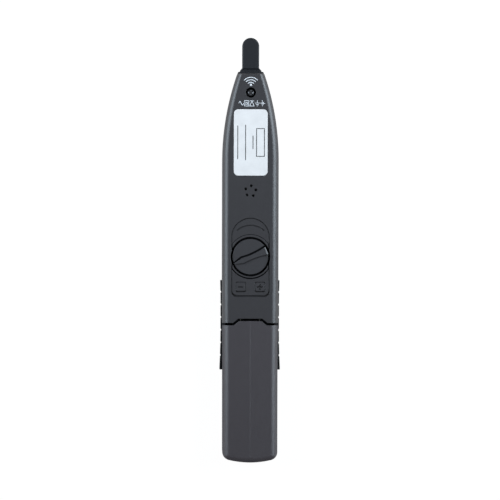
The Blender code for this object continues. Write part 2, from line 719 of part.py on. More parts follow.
def rear_shell():
    """Back half of the housing above the battery cover."""
    shell = housing_form("rear_shell", 0.0, 0.0, housing_plastic)
    past = BODY_HALF + CUT_PAST
    low = (-past, TAIL_Y - CUT_PAST, -CUT_PAST)
    below = block("below_parting", low, (past, -TAIL_Y, PARTING_Z + PARTING_GAP / 2))
    tail = [(past, TAIL_Y - CUT_PAST), (-past, TAIL_Y - CUT_PAST)]
    cover_zone = tail + cover_cut_line(COVER_LINE_GAP / 2)
    cut(shell, housing_cavity, below, slab("cover_zone", [cover_zone], -CUT_PAST, BODY_DEPTH + CUT_PAST))
    web_start = COVER_LINE + TONGUE_LENGTH + COVER_LINE_GAP
    web_end = web_start + BRACKET_THICKNESS
    half = BRACKET_WIDTH / 2
    middle_wall = BODY_DEPTH - FACE_WALL / 2
    tab_start = along(BAY_SCREW - half)
    bracket = [
        (tab_start, BRACKET_BASE_Z),
        (along(web_end), BRACKET_BASE_Z),
        (along(web_end), middle_wall),
        (along(web_start), middle_wall),
        (along(web_start), BRACKET_TOP_Z),
        (tab_start, BRACKET_TOP_Z),
    ]
    join(shell, cross_slab("screw_bracket", bracket, half))
    post_base = NOSE_BOSS_TOP_Z + SEAT_GAP
    nose_centre = (0.0, along(NOSE_SCREW))
    join(shell, rod("nose_screw_post", SCREW_POST_DIAMETER, nose_centre, post_base, middle_wall))
    dial_panel(shell)
    top = BODY_DEPTH + CUT_PAST
    hole = SCREW_SHANK_DIAMETER + 2 * SCREW_HOLE_GAP
    cut(shell, rod("screw_well", SCREW_WELL_DIAMETER, nose_centre, NOSE_SCREW_Z - SEAT_GAP, top))
    cut(shell, rod("nose_screw_hole", hole, nose_centre, NOSE_BOSS_TOP_Z - CUT_PAST, top))
    cut(shell, rod("bay_screw_hole", hole, (0.0, along(BAY_SCREW)), BRACKET_BASE_Z - CUT_PAST, top))
    for number in range(SOUND_HOLE_COUNT):
        angle = math.radians(SOUND_RING_TURN + 360 * number / SOUND_HOLE_COUNT)
        x = SOUND_RING_RADIUS * math.cos(angle)
        place = SOUND_PLACE + SOUND_RING_RADIUS * math.sin(angle)
        name = f"sound_hole_{number + 1}"
        cut(shell, rod(name, SOUND_HOLE_DIAMETER, (x, along(place)), INNER_BACK_Z - CUT_PAST, top))
    label_recess = label_outline(LABEL_EDGE_GAP)
    cut(shell, slab("label_recess", [label_recess], label_base() - SEAT_GAP, top))
    cut(shell, tip_opening("rear_tip_opening"))
    shade_round(shell)


def label_outline(grow):
    """The label's outline, or its recess when grown."""
    centre = (0.0, along(LABEL_START + LABEL_LENGTH / 2))
    size = (LABEL_WIDTH + 2 * grow, LABEL_LENGTH + 2 * grow)
    return rounded_rectangle(centre, *size, LABEL_CORNER_RADIUS + grow)


def label_base():
    return BODY_DEPTH - LABEL_THICKNESS


def rating_label():
    """The sticker, flush with the back face."""
    slab("rating_label", [label_outline(0.0)], label_base(), BODY_DEPTH, label_film)


def battery_cover():
    """Cover that slides off over the tail, with its ribs over the cells and two hooks."""
    cover = housing_form("battery_cover", 0.0, 0.0, cover_plastic)
    past = BODY_HALF + CUT_PAST
    low = (-past, TAIL_Y - CUT_PAST, -CUT_PAST)
    below = block("under_cover", low, (past, -TAIL_Y, PARTING_Z + PARTING_GAP / 2))
    nose = [(past, -TAIL_Y), (-past, -TAIL_Y)]
    rear_zone = cover_cut_line(-COVER_LINE_GAP / 2) + nose
    cut(cover, housing_cavity, below, slab("rear_zone", [rear_zone], -CUT_PAST, BODY_DEPTH + CUT_PAST))
    middle_wall = BODY_DEPTH - FACE_WALL / 2
    rib_middle = (CELL_START + CELL_END) / 2
    hook_x = (BRACKET_WIDTH + COVER_HOOK_WIDTH) / 2 + CUT_PAST
    hook_top = INNER_BACK_Z - SLIDE_GAP
    hook_low = hook_top - COVER_HOOK_THICKNESS
    line_end = COVER_LINE - COVER_LINE_GAP
    for side in (-1, 1):
        x = side * CELL_X
        reach = COVER_RIB_LENGTH / 2
        half = COVER_RIB_THICKNESS / 2
        rib_low = (x - half, along(rib_middle - reach), CELL_TOP_Z + SLIDE_GAP)
        join(cover, block(f"cover_rib_{side}", rib_low, (x + half, along(rib_middle + reach), middle_wall)))
        x = side * hook_x
        half = COVER_HOOK_WIDTH / 2
        root_start = line_end - 2 * COVER_HOOK_REACH
        root = (x - half, along(root_start), hook_low)
        join(cover, block(f"hook_root_{side}", root, (x + half, along(line_end), middle_wall)))
        hook = (x - half, along(line_end - COVER_HOOK_REACH), hook_low)
        hook_end = COVER_LINE + TONGUE_LENGTH + COVER_HOOK_REACH
        join(cover, block(f"cover_hook_{side}", hook, (x + half, along(hook_end), hook_top)))
    shade_round(cover)


def side_grip(name, side):
    """Ribbed rubber strip in its recess, waisted and flared at its tail end."""
    rib_pitch = GRIP_LENGTH / GRIP_RIB_COUNT
    base = BODY_HALF + GRIP_STAND_OFF
    notch = GRIP_NOTCH_WIDTH / 2

    def outer(place):
        flare = GRIP_FLARE * max(1.0 - (place - GRIP_START) / GRIP_FLARE_LENGTH, 0.0) ** 2
        swell = GRIP_TOP_SWELL * max(1.0 - (GRIP_END - place) / GRIP_SWELL_LENGTH, 0.0)
        return base + flare + swell

    inner = TAIL_HALF - GRIP_SINK + SEAT_GAP
    points = [(inner, GRIP_START)]
    for rib in range(GRIP_RIB_COUNT):
        start = GRIP_START + rib * rib_pitch
        stop = start + rib_pitch
        first = start if rib == 0 else start + notch
        last = stop if rib == GRIP_RIB_COUNT - 1 else stop - notch
        points.append((outer(first), first))
        points.append((outer((start + stop) / 2), (start + stop) / 2))
        points.append((outer(last), last))
        if rib < GRIP_RIB_COUNT - 1:
            points.append((outer(stop) - GRIP_NOTCH_DEPTH, stop))
    points.append((inner, GRIP_END))
    outline = [(side * x, along(place)) for x, place in points]
    slab(name, [outline], GRIP_LOW_Z, GRIP_HIGH_Z, black_rubber)


def sensor_tip():
    """Flat finger with a flared collar, a root that the shells trap and a slot for the plate."""
    half = TIP_WIDTH / 2
    root_end = NOSE_END - SIDE_WALL - SEAT_GAP
    root_start = root_end - TIP_ROOT_LENGTH
    outline = arc((0.0, along(TIP_END) - half), half, 0, 180, ROUND_STEPS // 2)
    outline += [(-half, along(root_start)), (half, along(root_start))]
    up = TIP_THICKNESS / 2
    tip = slab("sensor_tip", [outline], TIP_Z - up, TIP_Z + up, tip_plastic)
    round_edges(tip, TIP_EDGE_ROUND, EDGE_STEPS)
    collar = bmesh.new()
    bmesh.ops.create_cube(collar, size=1.0)
    collar_start = NOSE_END + SEAT_GAP
    for vert in collar.verts:
        top = vert.co.y > 0
        width = COLLAR_TOP_WIDTH if top else COLLAR_BASE_WIDTH
        thickness = COLLAR_TOP_THICKNESS if top else COLLAR_BASE_THICKNESS
        place = collar_start + COLLAR_LENGTH if top else collar_start
        vert.co = (vert.co.x * width, along(place), TIP_Z + vert.co.z * thickness)
    sloped = []
    for edge in collar.edges:
        start, stop = sorted(vert.co.y for vert in edge.verts)
        if stop - start > COLLAR_LENGTH / 2:
            sloped.append(edge)
    bmesh.ops.bevel(
        collar, geom=sloped, offset=TIP_EDGE_ROUND, segments=EDGE_STEPS, profile=0.5,
        affect="EDGES", material=-1
    )
    join(tip, from_bmesh("tip_collar", collar))
    across = TIP_ROOT_WIDTH / 2
    up = TIP_ROOT_THICKNESS / 2
    low = (-across, along(root_start), TIP_Z - up)
    join(tip, block("tip_root", low, (across, along(root_end), TIP_Z + up)))
    across = PLATE_TONGUE_WIDTH / 2 + SEAT_GAP
    up = PLATE_THICKNESS / 2 + SEAT_GAP
    slot_end = TIP_END - PLATE_SHORT_OF_TIP + SEAT_GAP
    low = (-across, along(root_start - CUT_PAST), TIP_Z - up)
    cut(tip, block("plate_slot", low, (across, along(slot_end), TIP_Z + up)))
    shade_round(tip)


def screw(name, place, seat_z):
    """Pan-head screw with a cross slot, its head on a seat height."""
    head = SCREW_HEAD_DIAMETER / 2
    shank = SCREW_SHANK_DIAMETER / 2
    profile = [
        (0.0, SCREW_HEAD_HEIGHT),
        (SCREW_CROWN_DIAMETER / 2, SCREW_HEAD_HEIGHT),
        (head, SCREW_RIM_HEIGHT),
        (head, 0.0),
        (shank, 0.0),
        (shank, -SCREW_LENGTH + shank),
        (0.0, -SCREW_LENGTH),
    ]
    piece = turned(name, profile, screw_steel, SMALL_ROUND_STEPS)
    piece.location = (0.0, along(place), seat_z)
    long_half = SCREW_SLOT_LENGTH / 2
    short_half = SCREW_SLOT_WIDTH / 2
    low_z = seat_z + SCREW_HEAD_HEIGHT - SCREW_SLOT_DEPTH
    high_z = seat_z + SCREW_HEAD_HEIGHT + CUT_PAST
    for turn, (across, up) in enumerate([(long_half, short_half), (short_half, long_half)]):
        low = (-across, along(place) - up, low_z)
        cut(piece, block(f"{name}_slot_{turn}", low, (across, along(place) + up, high_z)))


def ridge_outline():
    """Waisted pointer seen from the back, its tip towards +X."""
    reach = RIDGE_LENGTH / 2
    neck = reach - RIDGE_HEAD_LENGTH
    upper = []
    for step in range(2 * CORNER_STEPS + 1):
        along_ridge = -reach + (neck + reach) * step / (2 * CORNER_STEPS)
        if along_ridge < 0:
            grown = (RIDGE_BLUNT_WIDTH - RIDGE_WAIST) * (along_ridge / reach) ** 2
        else:
            grown = (RIDGE_HEAD_WIDTH - RIDGE_WAIST) * (along_ridge / neck) ** 2
        upper.append((along_ridge, (RIDGE_WAIST + grown) / 2))
    upper.append((reach, RIDGE_TIP_WIDTH / 2))
    lower = [(x, -y) for x, y in reversed(upper)]
    return lower + upper


def level_dial(axis):
    """Sensitivity knob: disc, hub with its bore, and the pointer ridge."""
    disc = DIAL_DIAMETER / 2
    hub = DIAL_HUB_DIAMETER / 2
    bore = POT_SHAFT_DIAMETER / 2 + SEAT_GAP
    hub_base = DISC_BASE_Z - DIAL_HUB_LENGTH
    bore_top = DISC_BASE_Z + POT_SHAFT_GRIP + SEAT_GAP
    profile = [
        (0.0, DISC_TOP_Z),
        (disc - DIAL_EDGE_ROUND, DISC_TOP_Z),
        (disc, DISC_TOP_Z - DIAL_EDGE_ROUND),
        (disc, DISC_BASE_Z),
        (hub, DISC_BASE_Z),
        (hub, hub_base),
        (bore, hub_base),
        (bore, bore_top),
        (0.0, bore_top),
    ]
    dial = turned("level_dial", profile, dial_plastic, 2 * ROUND_STEPS)
    dial.parent = axis
    ridge_base = DISC_TOP_Z - DIAL_EDGE_ROUND
    ridge = slab("pointer_ridge", [ridge_outline()], ridge_base, DISC_TOP_Z + RIDGE_HEIGHT)
    ridge.parent = axis
    join(dial, ridge)


def pot_shaft(axis):
    """The pot's turning shaft, up inside the dial's hub."""
    radius = POT_SHAFT_DIAMETER / 2
    top = DISC_BASE_Z + POT_SHAFT_GRIP
    base = POT_BASE_Z + POT_BORE_FLOOR + SEAT_GAP
    profile = [(0.0, top), (radius, top), (radius, base), (0.0, base)]
    shaft = turned("pot_shaft", profile, component_metal, SMALL_ROUND_STEPS)
    shaft.parent = axis


def level_pot():
    """Potentiometer body on the board, with the bore that its shaft turns in."""
    half = POT_WIDTH / 2
    low = (-half, along(DIAL_PLACE) - half, POT_BASE_Z)
    pot = block("level_pot", low, (half, along(DIAL_PLACE) + half, POT_TOP_Z), component_black)
    bore = POT_SHAFT_DIAMETER + 2 * SEAT_GAP
    bore_base = POT_BASE_Z + POT_BORE_FLOOR
    cut(pot, rod("pot_bore", bore, (0.0, along(DIAL_PLACE)), bore_base, POT_TOP_Z + CUT_PAST))


def circuit_board():
    """Board whose edges follow the inside of the housing."""
    places = [BOARD_START, GRIP_END, NOSE_START]
    run = BOARD_END - NOSE_START
    places += [NOSE_START + run * (step + 1) / BOARD_STEPS for step in range(BOARD_STEPS)]
    edge = [(half_width(place) - SIDE_WALL - BOARD_EDGE_GAP, along(place)) for place in places]
    outline = edge + [(-x, y) for x, y in reversed(edge)]
    slab("circuit_board", [outline], BOARD_BASE_Z, BOARD_TOP_Z, board_laminate)


def board_pieces():
    """Buzzer, chip, capacitor, indicator and switch, seated on the board."""
    radius = BUZZER_DIAMETER / 2
    port = BUZZER_PORT_DIAMETER / 2
    profile = [
        (0.0, BUZZER_HEIGHT / 2),
        (port, BUZZER_HEIGHT / 2),
        (port, BUZZER_HEIGHT),
        (radius - BUZZER_EDGE_ROUND, BUZZER_HEIGHT),
        (radius, BUZZER_HEIGHT - BUZZER_EDGE_ROUND),
        (radius, 0.0),
        (0.0, 0.0),
    ]
    buzzer = turned("piezo_buzzer", profile, component_black)
    buzzer.location = (0.0, along(SOUND_PLACE), ON_BOARD_Z)

    chip_place = DIAL_PLACE - POT_WIDTH / 2 - CHIP_WIDTH
    low = (-CHIP_LENGTH / 2, along(chip_place) - CHIP_WIDTH / 2, ON_BOARD_Z)
    high = (CHIP_LENGTH / 2, along(chip_place) + CHIP_WIDTH / 2, ON_BOARD_Z + CHIP_HEIGHT)
    block("detector_chip", low, high, component_black)

    can = CAPACITOR_DIAMETER / 2
    profile = [
        (0.0, CAPACITOR_HEIGHT),
        (can - CAPACITOR_EDGE_ROUND, CAPACITOR_HEIGHT),
        (can, CAPACITOR_HEIGHT - CAPACITOR_EDGE_ROUND),
        (can, 0.0),
        (0.0, 0.0),
    ]
    capacitor = turned("filter_capacitor", profile, component_metal, SMALL_ROUND_STEPS)
    capacitor_place = SOUND_PLACE + BUZZER_DIAMETER / 2 + CAPACITOR_DIAMETER
    capacitor.location = (0.0, along(capacitor_place), ON_BOARD_Z)

    bulb = LED_DIAMETER / 2
    flange = LED_FLANGE_DIAMETER / 2
    led_length = UNDER_BOARD_Z - lens_flange_base() - LENS_FLANGE_THICKNESS - SEAT_GAP
    profile = [(0.0, 0.0), (flange, 0.0), (flange, -LED_FLANGE_HEIGHT), (bulb, -LED_FLANGE_HEIGHT)]
    dome = arc((0.0, bulb - led_length), bulb, 0, -90, CORNER_STEPS)
    profile += dome[:-1] + [(0.0, -led_length)]
    led = turned("indicator_led", profile, led_epoxy, SMALL_ROUND_STEPS)
    led.location = (0.0, along(LENS_PLACE), UNDER_BOARD_Z)

    half = SWITCH_WIDTH / 2
    low = (-half, along(BUTTON_PLACE) - half, SWITCH_BASE_Z)
    high = (half, along(BUTTON_PLACE) + half, UNDER_BOARD_Z)
    switch = block("tact_switch", low, high, component_black)
    bore = PLUNGER_DIAMETER + 2 * SLIDE_GAP
    bore_top = SWITCH_BASE_Z + PLUNGER_SEAT + BUTTON_TRAVEL + SLIDE_GAP
    cut(switch, rod("plunger_bore", bore, (0.0, along(BUTTON_PLACE)), SWITCH_BASE_Z - CUT_PAST, bore_top))


def power_button(axis):
    """Front button with its trapped flange and the stem that pushes the switch."""
    centre = (0.0, 0.0)
    flange_low = FACE_WALL + SEAT_GAP
    flange_high = flange_low + BUTTON_FLANGE_THICKNESS
    stem_top = PLUNGER_BASE_Z - SEAT_GAP
    middle = (flange_low + flange_high) / 2
    cap = oval(centre, BUTTON_WIDTH, BUTTON_LENGTH)
    button = slab("power_button", [cap], BUTTON_SUNK, middle, button_rubber)
    flange = oval(centre, BUTTON_WIDTH + 2 * BUTTON_FLANGE, BUTTON_LENGTH + 2 * BUTTON_FLANGE)
    flange_piece = slab("button_flange", [flange], flange_low, flange_high)
    stem = rod("button_stem", BUTTON_STEM_DIAMETER, (0.0, 0.0), middle, stem_top)
    for piece in (button, flange_piece, stem):
        piece.parent = axis
    join(button, flange_piece, stem)


def switch_plunger(axis):
    """The switch's own plunger, which the button pushes in."""
    top = SWITCH_BASE_Z + PLUNGER_SEAT
    plunger = rod("switch_plunger", PLUNGER_DIAMETER, (0.0, 0.0), PLUNGER_BASE_Z, top, component_metal)
    plunger.parent = axis


def lens_flange_base():
    """Height of the lens flange, just clear of the sloping wall inside."""
    reach = LENS_LENGTH / 2 + LENS_FLANGE
    return front_level(along(LENS_PLACE) + reach) + FACE_WALL + SEAT_GAP


def indicator_lens():
    """Clear window on the front of the nose, with a flange inside."""
    centre = (0.0, along(LENS_PLACE))
    base = lens_flange_base()
    high = base + LENS_FLANGE_THICKNESS
    low = front_level(along(LENS_PLACE))
    window = oval(centre, LENS_WIDTH, LENS_LENGTH)
    lens = slab("indicator_lens", [window], low, (base + high) / 2, lens_acrylic)
    flange = oval(centre, LENS_WIDTH + 2 * LENS_FLANGE, LENS_LENGTH + 2 * LENS_FLANGE)
    join(lens, slab("lens_flange", [flange], base, high))


def sensor_plate():
    """Brass antenna: it overlaps the board, rings the nose boss and reaches into the tip."""
    half = PLATE_WIDTH / 2
    tongue = PLATE_TONGUE_WIDTH / 2
    ring_end = along(NOSE_SCREW) + half - tongue
    tongue_end = along(TIP_END - PLATE_SHORT_OF_TIP)
    start = along(BOARD_END - PLATE_OVERLAP)
    right = [(half, start), (half, along(NOSE_SCREW)), (tongue, ring_end), (tongue, tongue_end)]
    outline = right + [(-x, y) for x, y in reversed(right)]
    hole = arc((0.0, along(NOSE_SCREW)), SCREW_BOSS_RADIUS + SEAT_GAP, 0, 360, ROUND_STEPS)[:-1]
    slab("sensor_plate", [outline, hole], ON_BOARD_Z, PLATE_TOP_Z, sensor_brass)


def battery_cell(name, side, start, nub_up):
    """An AAA cell lying along the tester."""
    radius = CELL_DIAMETER / 2
    nub = CELL_NUB_DIAMETER / 2
    can_top = CELL_LENGTH - CELL_NUB_HEIGHT
    profile = [
        (0.0, CELL_LENGTH),
        (nub, CELL_LENGTH),
        (nub, can_top),
        (radius - CELL_EDGE_ROUND, can_top),
        (radius, can_top - CELL_EDGE_ROUND),
        (radius, CELL_EDGE_ROUND),
        (radius - CELL_EDGE_ROUND, 0.0),
        (0.0, 0.0),
    ]
    cell = turned(name, profile, cell_jacket)
    turn = -math.pi / 2 if nub_up else math.pi / 2
    place = start if nub_up else start + CELL_LENGTH
    cell.location = (side * CELL_X, along(place), CELL_Z)
    cell.rotation_euler = (turn, 0.0, 0.0)


def battery_spring(name, side, start, base_at_start):
    """Conical wound spring whose axis runs along the tester, in one unbroken wire."""
    curve = bpy.data.curves.new(name, "CURVE")
    curve.dimensions = "3D"
    curve.bevel_depth = SPRING_WIRE / 2
    curve.bevel_resolution = 1
    curve.use_fill_caps = True
    count = SPRING_TURNS * SPRING_POINTS_PER_TURN
    points = []
    for step in range(count + 1):
        share = step / count
        angle = 2 * math.pi * SPRING_TURNS * share
        radius = SPRING_BASE_RADIUS + (SPRING_TOP_RADIUS - SPRING_BASE_RADIUS) * share
        rise = SPRING_WIRE / 2 + (SPRING_LENGTH - SPRING_WIRE) * share
        travel = rise if base_at_start else SPRING_LENGTH - rise
        x = side * CELL_X + radius * math.cos(angle)
        points.append(Vector((x, along(start + travel), CELL_Z + radius * math.sin(angle))))
    spline = curve.splines.new("POLY")
    spline.points.add(count)
    for point, place in zip(spline.points, points):
        point.co = (*place, 1.0)
    curve.materials.append(contact_steel)
    PARTS.objects.link(bpy.data.objects.new(name, curve))
    return points


def least_gap(points):
    """Least clear gap between turns of one spring, measured on its points."""
    half_turn = SPRING_POINTS_PER_TURN // 2
    gaps = []
    for index, point in enumerate(points):
        for other in points[index + half_turn:]:
            gaps.append((point - other).length - SPRING_WIRE)
    return min(gaps)


def battery_pieces():
    """Two cells, head to tail, with a bridge at the tail and two tabs to the board."""
    spring_run = SPRING_LENGTH + SEAT_GAP
    battery_cell("battery_cell_left", -1, CELL_START + spring_run, True)
    battery_cell("battery_cell_right", 1, CELL_START, False)
    gaps = [
        least_gap(battery_spring("spring_left", -1, CELL_START, True)),
        least_gap(battery_spring("spring_right", 1, CELL_END - SPRING_LENGTH, False)),
    ]
    print("least gap between spring turns, mm:", round(min(gaps) * 1000, 3))

    plate_low = CELL_Z - CONTACT_WIDTH / 2
    bridge_half = CELL_X + CONTACT_WIDTH / 2
    bridge_start = along(BRIDGE_FACE + SEAT_GAP)
    low = (-bridge_half, bridge_start, plate_low)
    high = (bridge_half, bridge_start + CONTACT_THICKNESS, CELL_Z + CONTACT_WIDTH / 2)
    block("bridge_contact", low, high, contact_steel)

    for name, side in (("positive_contact", -1), ("negative_contact", 1)):
        x = side * CELL_X
        half = CONTACT_WIDTH / 2
        tab = CONTACT_TAB_WIDTH / 2
        start = along(CONTACT_FACE)
        stop = start + CONTACT_THICKNESS
        plate = block(name, (x - half, start, plate_low), (x + half, stop, TAB_TOP_Z), contact_steel)
        tab_low = (x - tab, (start + stop) / 2, ON_BOARD_Z)
        tab_end = along(BOARD_START + PLATE_OVERLAP)
        join(plate, block(name + "_tab", tab_low, (x + tab, tab_end, TAB_TOP_Z)))


# Pieces, in the order they are put together
dial_axis = bpy.data.objects.new("dial_axis", None)
PARTS.objects.link(dial_axis)
dial_axis.location = (0.0, along(DIAL_PLACE), 0.0)
dial_axis.rotation_euler = (0.0, 0.0, math.radians(DIAL_REST_ANGLE))

button_axis = bpy.data.objects.new("button_axis", None)
PARTS.objects.link(button_axis)
button_axis.location = (0.0, along(BUTTON_PLACE), 0.0)

front_shell()
side_grip("grip_left", -1)
side_grip("grip_right", 1)
indicator_lens()
power_button(button_axis)
switch_plunger(button_axis)
circuit_board()
board_pieces()
level_pot()
pot_shaft(dial_axis)
sensor_plate()
sensor_tip()
battery_pieces()
rear_shell()
rating_label()
screw("nose_screw", NOSE_SCREW, NOSE_SCREW_Z)
screw("bay_screw", BAY_SCREW, BAY_SCREW_Z)
level_dial(dial_axis)
battery_cover()
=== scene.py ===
"""Looks of a pen-shaped non-contact voltage tester, lying on its front with its back up.

The sections follow the tester as it is put together, from the front shell to the
battery cover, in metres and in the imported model's own frame.
"""

import json
import math

import bmesh
import bpy
from mathutils import Matrix, Vector

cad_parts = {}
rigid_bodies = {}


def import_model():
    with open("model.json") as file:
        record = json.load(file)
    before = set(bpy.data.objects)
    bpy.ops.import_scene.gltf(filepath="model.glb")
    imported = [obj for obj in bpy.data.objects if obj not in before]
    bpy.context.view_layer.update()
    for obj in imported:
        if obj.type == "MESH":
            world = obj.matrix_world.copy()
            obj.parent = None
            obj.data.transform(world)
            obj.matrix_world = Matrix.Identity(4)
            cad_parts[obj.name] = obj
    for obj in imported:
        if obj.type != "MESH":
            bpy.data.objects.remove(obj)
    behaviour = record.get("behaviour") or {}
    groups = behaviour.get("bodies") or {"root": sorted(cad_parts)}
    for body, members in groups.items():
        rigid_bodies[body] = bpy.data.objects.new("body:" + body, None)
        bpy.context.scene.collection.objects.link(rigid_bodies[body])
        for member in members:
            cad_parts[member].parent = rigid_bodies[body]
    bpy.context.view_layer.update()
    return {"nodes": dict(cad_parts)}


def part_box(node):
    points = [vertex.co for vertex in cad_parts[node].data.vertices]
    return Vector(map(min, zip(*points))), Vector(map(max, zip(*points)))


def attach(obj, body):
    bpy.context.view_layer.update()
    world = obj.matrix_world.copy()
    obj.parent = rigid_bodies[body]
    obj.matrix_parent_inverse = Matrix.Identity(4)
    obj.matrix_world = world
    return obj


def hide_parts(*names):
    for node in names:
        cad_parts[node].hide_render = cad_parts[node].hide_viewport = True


for startup_object in list(bpy.data.objects):
    bpy.data.objects.remove(startup_object)

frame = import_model()


# Front shell: the lower half of the housing, moulded in dark grey plastic with a fine
# spark-eroded grain. It carries the battery cradles, the screw bosses and the board posts.
# The moulding is the CAD solid, welded, with its sharp edges eased as a mould leaves them.
HOUSING_GREY = (0.026, 0.0235, 0.027)
HOUSING_ROUGHNESS = 0.40
HOUSING_SPECULAR = 1.0
HOUSING_FLANK = 0.25
GRAIN_SIZE = 0.00035
MOTTLE_SCALE = 260.0
MOTTLE_SHADE = 0.10
GLOSS_SPREAD = 0.05
FLANK_FROM = 0.8
FLANK_FULL = 0.4
MOULD_EASE = 0.00015
EASE_SAMPLES = 6
EASE_STEPS = 2
FACET_ANGLE = math.radians(32)
FLAT_ANGLE = math.radians(0.5)
WELD_DISTANCE = 0.000001
SLIVER = 0.000003


def new_finish(name):
    """A new material, its nodes, the call that links them and its shader's inputs."""
    material = bpy.data.materials.new(name)
    material.use_nodes = True
    nodes = material.node_tree.nodes
    return material, nodes, material.node_tree.links.new, nodes["Principled BSDF"].inputs


def add_node(nodes, kind, **values):
    """A new shader node with some of its inputs set."""
    node = nodes.new(kind)
    for name, value in values.items():
        node.inputs[name.replace("_", " ")].default_value = value
    return node


def shade_mix(nodes, colour, dark, pale):
    """A node that mixes a darker and a paler shade of one colour."""
    tone = nodes.new("ShaderNodeMix")
    tone.data_type = "RGBA"
    for socket, shade in (("A", dark), ("B", pale)):
        tone.inputs[socket].default_value = (*[channel * shade for channel in colour], 1.0)
    return tone


def gloss_range(nodes, roughness, spread):
    """A node that spreads the roughness to both sides of its middle."""
    return add_node(
        nodes, "ShaderNodeMapRange", To_Min=roughness - spread, To_Max=roughness + spread
    )


def moulded_plastic(
    name, colour, roughness, grain, grain_depth=0.10, specular=0.5, ease=0.0, flank=0.0
):
    """Plastic with a fine grain, a faint mottle, eased edges and rougher flanks."""
    material, nodes, link, shader = new_finish(name)
    shader["Specular IOR Level"].default_value = specular
    place = nodes.new("ShaderNodeTexCoord")

    mottle = add_node(nodes, "ShaderNodeTexNoise", Scale=MOTTLE_SCALE, Detail=4.0)
    link(place.outputs["Object"], mottle.inputs["Vector"])
    tone = shade_mix(nodes, colour, 1.0 - MOTTLE_SHADE, 1.0 + MOTTLE_SHADE)
    link(mottle.outputs["Fac"], tone.inputs["Factor"])
    link(tone.outputs["Result"], shader["Base Color"])

    grit = add_node(nodes, "ShaderNodeTexNoise", Scale=1.0 / grain, Detail=2.0)
    link(place.outputs["Object"], grit.inputs["Vector"])
    bump = add_node(nodes, "ShaderNodeBump", Strength=grain_depth, Distance=grain)
    link(grit.outputs["Fac"], bump.inputs["Height"])
    link(bump.outputs["Normal"], shader["Normal"])
    if ease:
        soft = add_node(nodes, "ShaderNodeBevel", Radius=ease)
        soft.samples = EASE_SAMPLES
        link(soft.outputs["Normal"], bump.inputs["Normal"])
    gloss = gloss_range(nodes, roughness, GLOSS_SPREAD)
    link(grit.outputs["Fac"], gloss.inputs["Value"])
    link(gloss.outputs["Result"], shader["Roughness"])
    if flank:
        facing = nodes.new("ShaderNodeNewGeometry")
        parts = nodes.new("ShaderNodeSeparateXYZ")
        link(facing.outputs["Normal"], parts.inputs[0])
        steep = add_node(
            nodes, "ShaderNodeMapRange", From_Min=FLANK_FROM, From_Max=FLANK_FULL, To_Max=flank
        )
        link(parts.outputs["Z"], steep.inputs["Value"])
        coarse = nodes.new("ShaderNodeMath")
        link(gloss.outputs["Result"], coarse.inputs[0])
        link(steep.outputs["Result"], coarse.inputs[1])
        link(coarse.outputs[0], shader["Roughness"])
    return material


def as_object(name, shape):
    """Turns a finished bmesh into an object of the scene."""
    mesh = bpy.data.meshes.new(name)
    shape.to_mesh(mesh)
    shape.free()
    made = bpy.data.objects.new(name, mesh)
    bpy.context.scene.collection.objects.link(made)
    return made


def add_piece(name, shape, material, body, slot, *nodes):
    """Turns a finished bmesh into a piece that rides on a body and stands for its CAD nodes."""
    piece = as_object(name, shape)
    piece.data.shade_smooth()
    piece.data.materials.append(material)
    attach(piece, body)
    if nodes:
        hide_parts(*nodes)
    return piece


def crisp_edges(piece):
    """Shades a piece's sharp edges crisp and keeps its flat faces flat."""
    shape = bmesh.new()
    shape.from_mesh(piece.data)
    bmesh.ops.dissolve_degenerate(shape, dist=SLIVER, edges=shape.edges)
    for edge in shape.edges:
        if len(edge.link_faces) == 2 and edge.calc_face_angle() > FACET_ANGLE:
            edge.smooth = False
    shape.to_mesh(piece.data)
    shape.free()
    normals = piece.modifiers.new("Normals", "WEIGHTED_NORMAL")
    normals.keep_sharp = True


def ease_edges(piece, width):
    """Rounds a piece's sharp edges a little and keeps its flat faces flat."""
    bevel = piece.modifiers.new("Ease", "BEVEL")
    bevel.width = width
    bevel.segments = EASE_STEPS
    bevel.limit_method = "ANGLE"
    bevel.angle_limit = FACET_ANGLE
    piece.modifiers.new("Normals", "WEIGHTED_NORMAL")


def welded_copy(node):
    """A CAD node's triangles as one closed mesh, with the flat ones joined up."""
    shape = bmesh.new()
    shape.from_mesh(frame["nodes"][node].data)
    bmesh.ops.remove_doubles(shape, verts=shape.verts, dist=WELD_DISTANCE)
    bmesh.ops.dissolve_limit(
        shape, angle_limit=FLAT_ANGLE, verts=shape.verts, edges=shape.edges, delimit=set()
    )
    return shape


housing_plastic = moulded_plastic(
    "housing_plastic", HOUSING_GREY, HOUSING_ROUGHNESS, GRAIN_SIZE,
    specular=HOUSING_SPECULAR, ease=MOULD_EASE, flank=HOUSING_FLANK,
)
front_shell = add_piece(
    "front_moulding", welded_copy("front_shell"), housing_plastic,
    "housing", "housing", "front_shell",
)
crisp_edges(front_shell)


# Side grips: soft black rubber strips bonded into a recess on each side. Each is a plain
# strip with seven cross ribs, and its tail end flares out as a stop for the fingers, with a
# short lip over the housing.
GRIP_BLACK = (0.006, 0.006, 0.007)
BLOOM = 0.02
BLOOM_ROUGHNESS = 0.5
GRIP_START_Y = -0.05315
GRIP_END_Y = -0.01325
GRIP_LOW_Z = 0.0036
GRIP_HIGH_Z = 0.0090
GRIP_INNER_X = 0.0119
GRIP_OUTER_X = 0.01315
GRIP_RIBS = 7
GRIP_NOTCH = 0.0007
GRIP_NOTCH_DEPTH = 0.0003
GRIP_FLARE = 0.00044
GRIP_FLARE_LENGTH = 0.0180
GRIP_SWELL = 0.0002
GRIP_SWELL_LENGTH = 0.0080
GRIP_ROUND = 0.00025
GRIP_CUTS = 4
GRIP_TOP_TRIM = 0.0004
GRIP_LIP = 0.00075
GRIP_LIP_X = 0.0124


